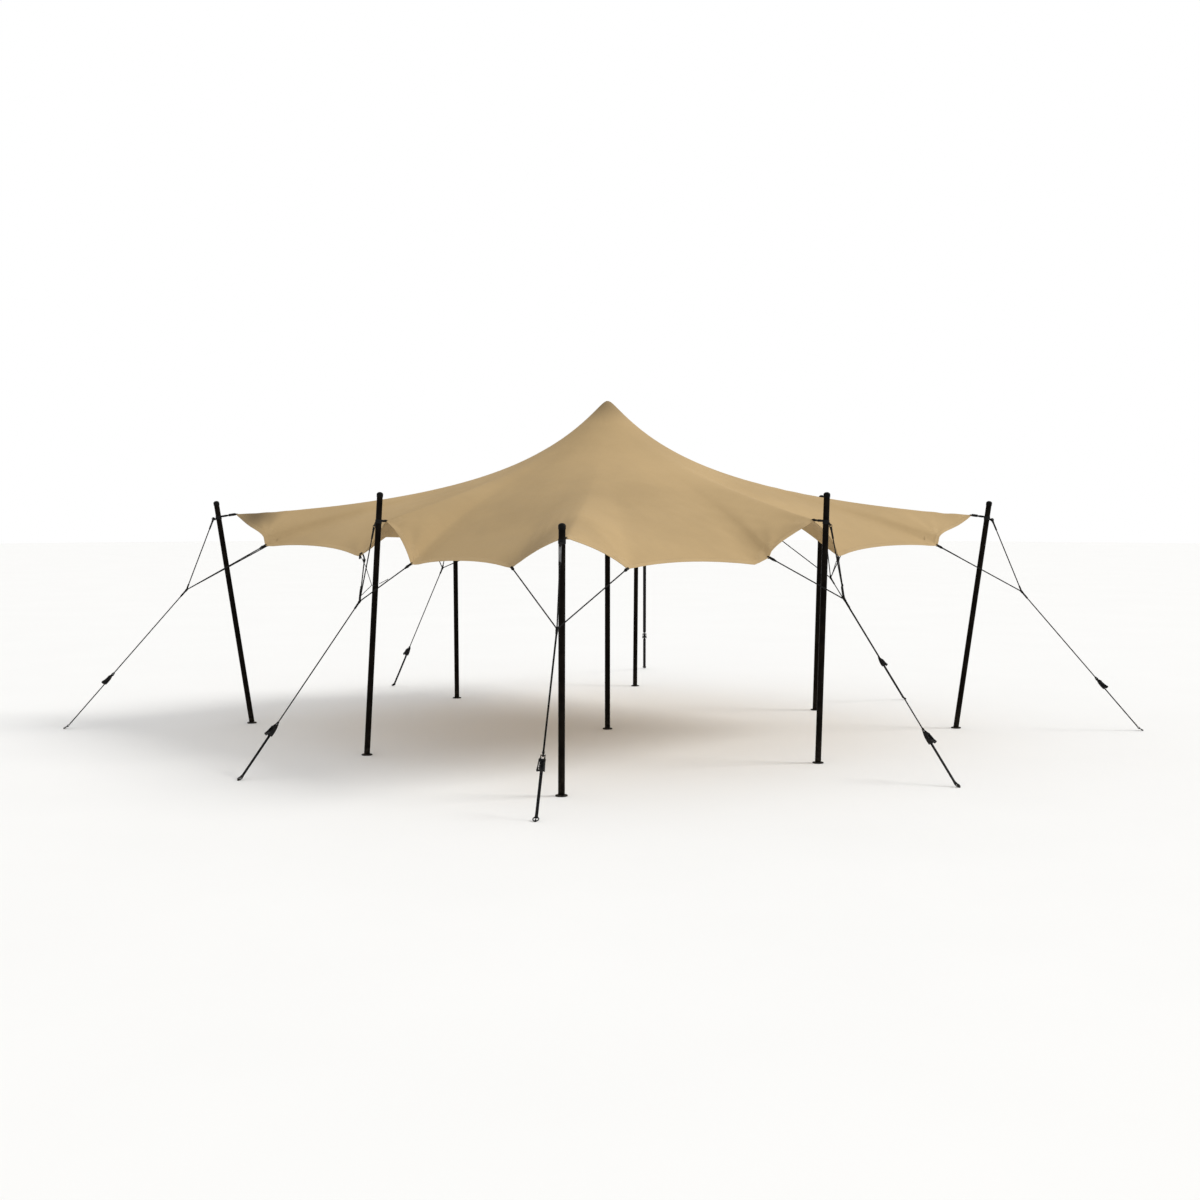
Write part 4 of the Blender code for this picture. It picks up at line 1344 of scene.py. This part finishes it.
class Bridle:
    """Everything between the canopy and one ratchet: tabs, rings, slings round the pole, ropes and hitches.

    The near corner, "front", has short tabs and grey webbing, and the others have wound ropes.
    """

    def __init__(self, station):
        self.station = station
        self.shape, self.paths = Shape("rope", "strap", "zinc"), []
        self.knot_place, self.axis = station.knot(), station.axis()
        self.front, self.corner = station.name == "front", station.at_corner()
        self.left, self.right = CANOPY.tie(station, "left"), CANOPY.tie(station, "right")

    def hitch(self, start, way, distance, size):
        knot(self.shape, start + way * distance, way, size)

    def wind(self, start, way, distance, length, radius):
        whipping(self.shape, start + way * distance, way, length, radius)

    def rope(self, points, share=1.0):
        """A rope along points. Its radius is a share of the main rope's."""
        self.paths.append((points, ROPE * share))

    def between(self, left_share, right_share):
        """A place by its shares of the way from the knot to the left tie and to the right tie."""
        left, right = self.left - self.knot_place, self.right - self.knot_place
        return self.knot_place + left * left_share + right * right_share

    def hem_ropes(self, edge, arched, wound):
        """The tab at one tie of the hem, and the rope from it down to the knot, doubled at some poles."""
        knot_place, length = self.knot_place, SHORT_TAB_LENGTH if self.front else TAB_LENGTH
        start = tab(self.shape, edge, (knot_place - edge).normalized(), length)
        if arched:
            # The link leads the rope a little to the right of the tie
            link = [self.between(*shares) for shares in ARCHED_LINK]
            self.rope(link, 1.3)
            start = link[-1]
        way = (knot_place - start).normalized()
        self.rope([start, knot_place])
        self.hitch(start, way, 0.004, 0.0130)
        if not self.front:
            self.wind(start, way, 0.014, 0.026, 0.0098)
        if wound:
            self.wind(edge, way, 0.012, 0.022, 0.0105)
        aside = way.cross(UP).normalized() * (ROPE * (1.2 if self.station.name == "front_left" else 1.9))
        if self.station.doubled:
            near = knot_place - way * self.station.doubled
            beside = [near + way * 0.03 + aside, knot_place - way * 0.03 + aside]
            self.rope([near, *beside, knot_place], 0.8)
            self.hitch(near, way, 0, 0.0105)
        elif self.corner and not self.front:
            beside = [start + way * distance + aside for distance in (0.04, 0.24)]
            self.rope([start, *beside, start + way * 0.34], 0.7)

    def tip_sling(self):
        """The tab at the tip of the ear and its sling round the pole. Returns the sling's middle."""
        tip, collar = CANOPY.tie(self.station, "tip"), self.station.on_axis(self.station.tip_height)
        towards = collar - tip
        way = (towards - self.axis * towards.dot(self.axis)).normalized()
        free = towards.length - POLE_RADIUS
        length = free * (0.5 if self.corner and not self.front else 0.34)
        start = tab(self.shape, tip, way, length)
        if not self.front:
            self.wind(tip, way, 0.004, length - 0.006, 0.0145 if self.corner else 0.0105)
        if self.station.doubled:
            self.hitch(tip + way * 0.006 + UP * 0.003, way, 0, 0.0110)
        middle = collar + self.axis * (start - collar).dot(self.axis)
        sling(self.shape, middle, self.axis, start, 0.020)
        coil(self.shape, start + way * min(0.034, free * 0.22), way, 0.0080, 0.0048, 4.0, 0.0094)
        return middle

    def ring_rope(self, below):
        """The ring beside the pole in its own sling, and the rope from it down to the knot."""
        ring, outward = self.station.ring(), self.station.outward()
        link = below + (outward - self.axis * outward.dot(self.axis)).normalized() * (POLE_RADIUS + 0.012)
        sling(self.shape, below, self.axis, link, 0.019)
        way = (ring - link).normalized()
        self.wind(link, way, -0.006, (ring - link).length + 0.004, 0.0135 if self.corner else 0.0085)
        self.shape.hoop(ring, RING_RADIUS, outward, UP, 24, 0.0032, 8, "zinc")
        way = (self.knot_place - ring).normalized()
        begin = ring + way * RING_RADIUS
        self.rope([begin, self.knot_place])
        if self.corner:
            self.hitch(ring, way, 0.003, 0.0125)
        if self.front:
            face = (Vector((*self.station.inward, 0)).normalized() * -0.35 + outward).normalized()
            path = [begin + way * distance + outward * height for distance, height in GREY_WEBBING]
            self.shape.strip(path, 0.024, 0.0018, face.cross(way), "grey_strap")
            self.hitch(begin, way, 0.140, 0.0120)
            return
        self.hitch(begin, way, 0.006, 0.0120)
        self.wind(begin, way, 0.018, 0.092, 0.0096)
        back, length = (0.070, 0.055) if self.corner else (0.040, 0.030)
        self.wind(self.knot_place, way, -back, length, 0.0090)

    def guy(self):
        """From the knot to the ratchet's front bar, round it and spliced."""
        frame = self.station.ratchet_frame()
        way = direction(frame, 1, 0, 0)
        coil(self.shape, self.knot_place, way, 0.0095, 0.0042, 4.0, 0.0088)
        if self.front:
            self.hitch(self.knot_place, way, -0.028, 0.0115)
        else:
            self.wind(self.knot_place, way, -0.100, 0.082, 0.0100)
        splice = frame @ Vector((FRONT_BAR + 0.023, 0, 0))
        if self.station.name in GUY_WEBBING:
            path = [self.knot_place, self.knot_place.lerp(splice, 0.5), splice]
            self.shape.strip(path, *GUY_WEBBING[self.station.name], direction(frame, 0, 1, 0))
        else:
            self.rope([self.knot_place, splice])
        lead = [(FRONT_BAR + 0.022, 0.0046), (FRONT_BAR + 0.010, 0.0094)]
        turn = half_turn(FRONT_BAR, BAR_RADIUS + ROPE + 0.0002, 10)
        self.rope(on_plane(frame, [*lead, *turn, *((x, -z) for x, z in reversed(lead))]), 0.95)
        coil(self.shape, splice, way, 0.0096, 0.0026, 3.0, 0.0054)

    def make(self):
        name = self.station.name
        for side, edge in (("left", self.left), ("right", self.right)):
            arched = (name, side) == ("front_left", "left")
            self.hem_ropes(edge, arched, wound=not self.front and not arched)
        middle = self.tip_sling()
        self.ring_rope(middle - self.axis * 0.0200)
        self.guy()
        for cord in LOOSE_CORDS.get(name, ()):
            self.rope([self.between(*shares) for shares in cord], 0.6)
        finished(f"fittings_{name}", self.shape, smooth=45)
        mesh = grown(f"rope_{name}", lines(f"rope_{name}", self.paths), ROPE_TWIST, "rope")
        placed(f"rope_{name}", mesh, [f"bridle_{name}"])


# Ratchets, straps and stakes

# Outlines as (x, z) of a ratchet's side plate, an arm of its handle and the raised rib on the arm
PLATE_OUTLINE = [
    (-0.0900, -0.0060), (-0.0890, -0.0145), (-0.0830, -0.0190), (-0.0500, -0.0205), (-0.0100, -0.0190),
    (0.0180, -0.0130), (0.0400, -0.0072), (0.0465, -0.0045), (0.0478, 0.0), (0.0465, 0.0060),
    (0.0400, 0.0092), (0.0260, 0.0140), (0.0170, 0.0200), (0.0120, 0.0218), (-0.0120, 0.0218),
    (-0.0180, 0.0190), (-0.0240, 0.0172), (-0.0800, 0.0150), (-0.0870, 0.0105),
]
ARM_OUTLINE = [
    (0.0078, -0.0092), (0.0200, -0.0100), (0.0360, -0.0078), (0.0580, -0.0062), (0.0780, -0.0076),
    (0.0920, -0.0094), (0.0985, -0.0070), (0.1000, 0.0), (0.0985, 0.0120), (0.0940, 0.0235),
    (0.0850, 0.0265), (0.0580, 0.0200), (0.0360, 0.0145), (0.0200, 0.0112), (0.0078, 0.0092),
]
ARM_RIB = [
    (0.030, -0.0030), (0.060, -0.0022), (0.072, -0.0030), (0.072, 0.0030), (0.060, 0.0022), (0.030, 0.0030),
]

# Place on the plate, distance of the head from the ratchet's middle, and radius
BOLTS = [
    (FRONT_BAR, 0, 0.0190, 0.0058),
    (BACK_BAR, AXLE_HEIGHT, 0.0190, 0.0058),
    (-0.030, 0.0035, 0.0184, 0.0036),
]

WHEEL_FACES = (0.0192, 0.0220)
WHEEL_TEETH = 12
WHEEL_TOOTH = ((0.0, 0.0130), (0.62, 0.0160), (0.80, 0.0164), (0.92, 0.0158), (0.97, 0.0134))


def rod_profile(reach, radius, ease=0.0006):
    end = [(radius - ease, reach), (radius, reach - ease)]
    return [(0, -reach), *((r, -h) for r, h in end), *reversed(end), (0, reach)]


def bolt(shape, place, side, radius):
    """A domed head on the outside of a plate."""
    profile = [(0, 0), (radius, 0), (radius, 0.0008), (radius * 0.86, 0.0017), (radius * 0.5, 0.0023),
               (0, 0.0025)]
    shape.lathe(profile, 12, facing(place, side), "zinc")


def ratchet_wheel():
    """Outline of a toothed wheel, with sloping teeth."""
    outline = []
    for tooth in range(WHEEL_TEETH):
        for share, radius in WHEEL_TOOTH:
            angle = math.tau * (tooth + share) / WHEEL_TEETH
            outline.append((radius * math.cos(angle), AXLE_HEIGHT + radius * math.sin(angle)))
    return outline


def make_ratchet(station):
    """Two side plates with wheels, bolts and washers, joined by bars, the axle and a spring catch."""
    place = station.ratchet_frame()
    shape = Shape("steel", "zinc")
    half = PLATE_SPACING / 2
    for side in (-1, 1):
        middle = side * half
        shape.prism(PLATE_OUTLINE, middle - PLATE_THICKNESS / 2, middle + PLATE_THICKNESS / 2, place, "steel")
        shape.prism(ratchet_wheel(), *sorted(side * face for face in WHEEL_FACES), place, "zinc", 0.0003)
        for x, z, face, radius in BOLTS:
            bolt(shape, on_y(place, x, z) @ shift(0, 0, side * face), side, radius)
        washer = [(0.0066, 0.0), (0.0092, 0.0), (0.0092, 0.0011), (0.0066, 0.0011), (0.0066, 0.0)]
        shape.lathe(washer, 20, on_y(place, 0, AXLE_HEIGHT) @ shift(0, 0, side * 0.02825 - 0.00055), "zinc")
    bar = rod_profile(half + 0.0020, BAR_RADIUS)
    shape.lathe(bar, 16, on_y(place, FRONT_BAR, 0), "steel")
    shape.lathe(bar, 16, on_y(place, BACK_BAR, AXLE_HEIGHT), "steel")
    shape.lathe(rod_profile(0.0295, AXLE_RADIUS - 0.0002, 0.001), 24, on_y(place, 0, AXLE_HEIGHT), "steel")
    shape.box((-0.0340, -half + 0.0010, 0.0070), (-0.0200, half - 0.0010, 0.0092), place, "steel")
    spring = [place @ Vector((-0.034 - 0.0014 * (k % 2), -0.0105 + 0.0007 * k, 0.0081)) for k in range(31)]
    shape.tube(spring, 0.0006, 5, "zinc")
    dressed(f"ratchet_{station.name}", shape, smooth=32)


GRIP_RINGS = 11


def make_handle(station):
    """Two flaring arms with bosses on the axle, a ribbed grip between their ends and a latch bar."""
    place = station.ratchet_frame() @ shift(0, 0, AXLE_HEIGHT)
    shape = Shape("steel", "grip", "zinc")
    half = HANDLE_THICKNESS / 2
    length = math.hypot(HANDLE_RISE, HANDLE_LENGTH)
    slope = Matrix.Rotation(-math.atan2(HANDLE_RISE, -HANDLE_LENGTH), 4, "Y")
    for side in (-1, 1):
        level = side * (HANDLE_INNER + half)
        flare = Matrix.Rotation(math.atan2(HANDLE_FLARE, length) * side, 4, "Z")
        arm = place @ shift(0, level, 0) @ slope @ flare
        shape.prism(ARM_OUTLINE, -half, half, arm, "steel")
        shape.prism(ARM_RIB, *sorted((side * 0.0012, side * 0.0024)), arm, "steel", 0.0004)
        boss = [(HANDLE_BORE, -half), (0.0114, -half), (0.0120, -half + 0.0006), (0.0120, half - 0.0006),
                (0.0114, half), (HANDLE_BORE, half), (HANDLE_BORE, -half)]
        shape.lathe(boss, 28, on_y(place, 0, 0) @ shift(0, 0, level), "steel")
    grip = on_y(place, -HANDLE_LENGTH, HANDLE_RISE)
    reach = HANDLE_INNER + HANDLE_FLARE - 0.0006
    sleeve = [(0, -reach), (GRIP_RADIUS - 0.0008, -reach)]
    for k in range(GRIP_RINGS):
        centre = -reach + (k + 0.5) * 2 * reach / GRIP_RINGS
        sleeve += [(GRIP_RADIUS + 0.0006, centre - 0.0017), (GRIP_RADIUS + 0.0006, centre + 0.0012),
                   (GRIP_RADIUS - 0.0004, centre + 0.0020)]
    shape.lathe([*sleeve, (GRIP_RADIUS - 0.0008, reach), (0, reach)], 20, grip, "grip")
    outer = HANDLE_INNER + HANDLE_FLARE + HANDLE_THICKNESS - 0.0004
    for side in (-1, 1):
        rivet = [(0, 0), (0.0062, 0), (0.0062, 0.0012), (0.0050, 0.0020), (0, 0.0022)]
        shape.lathe(rivet, 16, facing(grip @ shift(0, 0, side * outer), side), "zinc")
    latch = HANDLE_INNER + 0.0030
    shape.box((0.0660, -latch, -0.0010), (0.0760, latch, 0.0010), place @ slope, "zinc")
    dressed(f"handle_{station.name}", shape, f"ratchet_handle_{station.name}", smooth=32)


SPOOL_CORE = 0.0071
SPOOL_ROLL = 0.0103
SPOOL_TURNS = 2.25
SPOOL_STEPS = 54
ROLL_THICKNESS = 0.0017
SEAM_HALF = 0.008


def make_strap(station):
    """Webbing from the spool to the stake's ring, round it and sewn back to itself. Returns its seams."""
    place, end = station.ratchet_frame(), -station.ratchet_out
    # The far corner has wider webbing, which begins behind the ratchet's plates
    broad = station.name == "back"
    first, width = (-0.096, BROAD_STRAP_WIDTH) if broad else (-0.066, STRAP_WIDTH)
    level = AXLE_HEIGHT - SPOOL_ROLL
    roll = []
    for share in (step / SPOOL_STEPS for step in range(SPOOL_STEPS + 1)):
        angle = math.radians(-90) + math.tau * SPOOL_TURNS * (1 - share)
        radius = SPOOL_CORE + (SPOOL_ROLL - SPOOL_CORE) * share
        roll.append((radius * math.cos(angle), AXLE_HEIGHT + radius * math.sin(angle)))
    roll += [(-0.010, level), (first, level)]
    run = [(first if broad else first + 0.044, level), (first - 0.004, level)]
    run += [(end * k / 24, level) for k in range(4, 22)]
    run += [(end + 0.030, level), (end + 0.014, level + 0.0024)]
    run += half_turn(end, EYE_TUBE + 0.0004 + STRAP_THICKNESS / 2, 12)
    lower = level - STRAP_THICKNESS - 0.0003
    run += [(end + 0.014, -0.0066), (end + 0.030, lower)]
    run += [(end + 0.030 - (end + 0.036 - first) * k / 20, lower) for k in range(1, 21)]
    shape = Shape("strap")
    across = direction(place, 0, 1, 0)
    shape.strip(on_plane(place, roll), STRAP_WIDTH, ROLL_THICKNESS, across)
    shape.strip(on_plane(place, run), width, STRAP_THICKNESS, across)
    dressed(f"strap_{station.name}", shape, smooth=50)
    near, far, top = end + 0.040, end + 0.125, level + STRAP_THICKNESS / 2 + 0.0003
    box = [(near, -SEAM_HALF), (far, -SEAM_HALF), (far, SEAM_HALF), (near, SEAM_HALF), (near, -SEAM_HALF)]
    return [[place @ Vector((x, y, top)) for x, y in seam] for seam in (box, box[0:3:2], box[3:0:-2])]


def make_stake(station):
    """A steel bar with a rounded head, and a tilted ring welded to its side by a tongue."""
    turn = Matrix((station.outward(), UP.cross(station.outward()), UP)).transposed().to_4x4()
    place = shift(*station.stake, 0) @ turn
    shape = Shape("stake")
    tilt = place @ shift(0, 0, EYE_HEIGHT) @ Matrix.Rotation(EYE_TILT, 4, "Y")
    middle, first, second = tilt.translation, direction(tilt, 1, 0, 0), direction(tilt, 0, 1, 0)
    shape.hoop(middle, EYE_RADIUS, first, second, 40, EYE_TUBE, 14, "stake")
    tongue = [middle + first * (EYE_RADIUS * share) for share in (-0.30, 0.2, 0.7, 0.98)]
    shape.tube(tongue, [0.0040, 0.0062, 0.0070, 0.0074], 12, "stake")
    head = EYE_HEIGHT - math.sin(EYE_TILT) * EYE_RADIUS + EYE_TUBE * 0.8
    profile = [(0, 0), (STAKE_RADIUS, 0), (STAKE_RADIUS, head * 0.6), (STAKE_RADIUS + 0.0010, head * 0.72),
               (STAKE_RADIUS + 0.0002, head * 0.84), (STAKE_RADIUS - 0.0006, head - 0.0012),
               (STAKE_RADIUS - 0.0020, head), (0, head)]
    shape.lathe(profile, 24, place @ shift(math.cos(EYE_TILT) * EYE_RADIUS, 0, 0), "stake")
    dressed(f"stake_{station.name}", shape, smooth=40)


# Light and floor

SOFT_LIGHT = 0.77
KEY_LIGHT = 1.72
KEY_FROM = (0.55, 0.62, 0.65)
KEY_SPREAD = 24


def make_stage():
    mesh = bpy.data.meshes.new("floor")
    made = bmesh.new()
    bmesh.ops.create_circle(made, cap_ends=True, segments=96, radius=80)
    made.to_mesh(mesh)
    made.free()
    floor = add_to_scene("floor", mesh)
    floor.location.z = -0.0005
    material, nodes, shader = new_finish("studio_floor", 0.9)
    tone = nodes.noise(object_place(nodes), 0.6, 3.0, 0.5)
    nodes.put(shader.inputs["Base Color"], nodes.mix(tone, (0.87, 0.87, 0.865), (0.90, 0.90, 0.895)))
    mesh.materials.append(material)
    world = bpy.data.worlds.new("studio")
    world.use_nodes = True
    nodes = Nodes(world.node_tree)
    background = world.node_tree.nodes["Background"]
    # The camera sees white, and the tent is lit by somewhat less
    shown = nodes.add("ShaderNodeLightPath").outputs["Is Camera Ray"]
    nodes.put(background.inputs["Strength"], nodes.spread(shown, 0.0, 1.0, SOFT_LIGHT, 1.0))
    background.inputs["Color"].default_value = (1.0, 1.0, 1.0, 1)
    bpy.context.scene.world = world
    bpy.context.scene.view_settings.view_transform = "Standard"
    data = bpy.data.lights.new("key", "SUN")
    data.energy = KEY_LIGHT
    data.angle = math.radians(KEY_SPREAD)
    data.color = (1.0, 0.985, 0.95)
    add_to_scene("key", data).rotation_euler = Vector(KEY_FROM).to_track_quat("Z", "Y").to_euler()


def make_pieces():
    membrane = make_canopy()
    trim = [*make_hem(), *make_patches()]
    head_bottom = make_peak_head()
    make_foot("foot_centre", 0, 0)
    make_pole("pole_centre", Vector((0, 0, BALL_HEIGHT)), Vector((0, 0, head_bottom - GAP)), cap=False)
    seams = []
    for station in STATIONS:
        make_foot(f"foot_{station.name}", *station.foot)
        make_pole(f"pole_{station.name}", station.base(), station.top())
        Bridle(station).make()
        make_ratchet(station)
        make_handle(station)
        seams += make_strap(station)
        make_stake(station)
    stitched("strap_stitches", seams, "strap_black", "strap_thread", spacing=0.0048, length=0.0034,
             thickness=0.0005)


make_camera()
make_pieces()
make_stage()
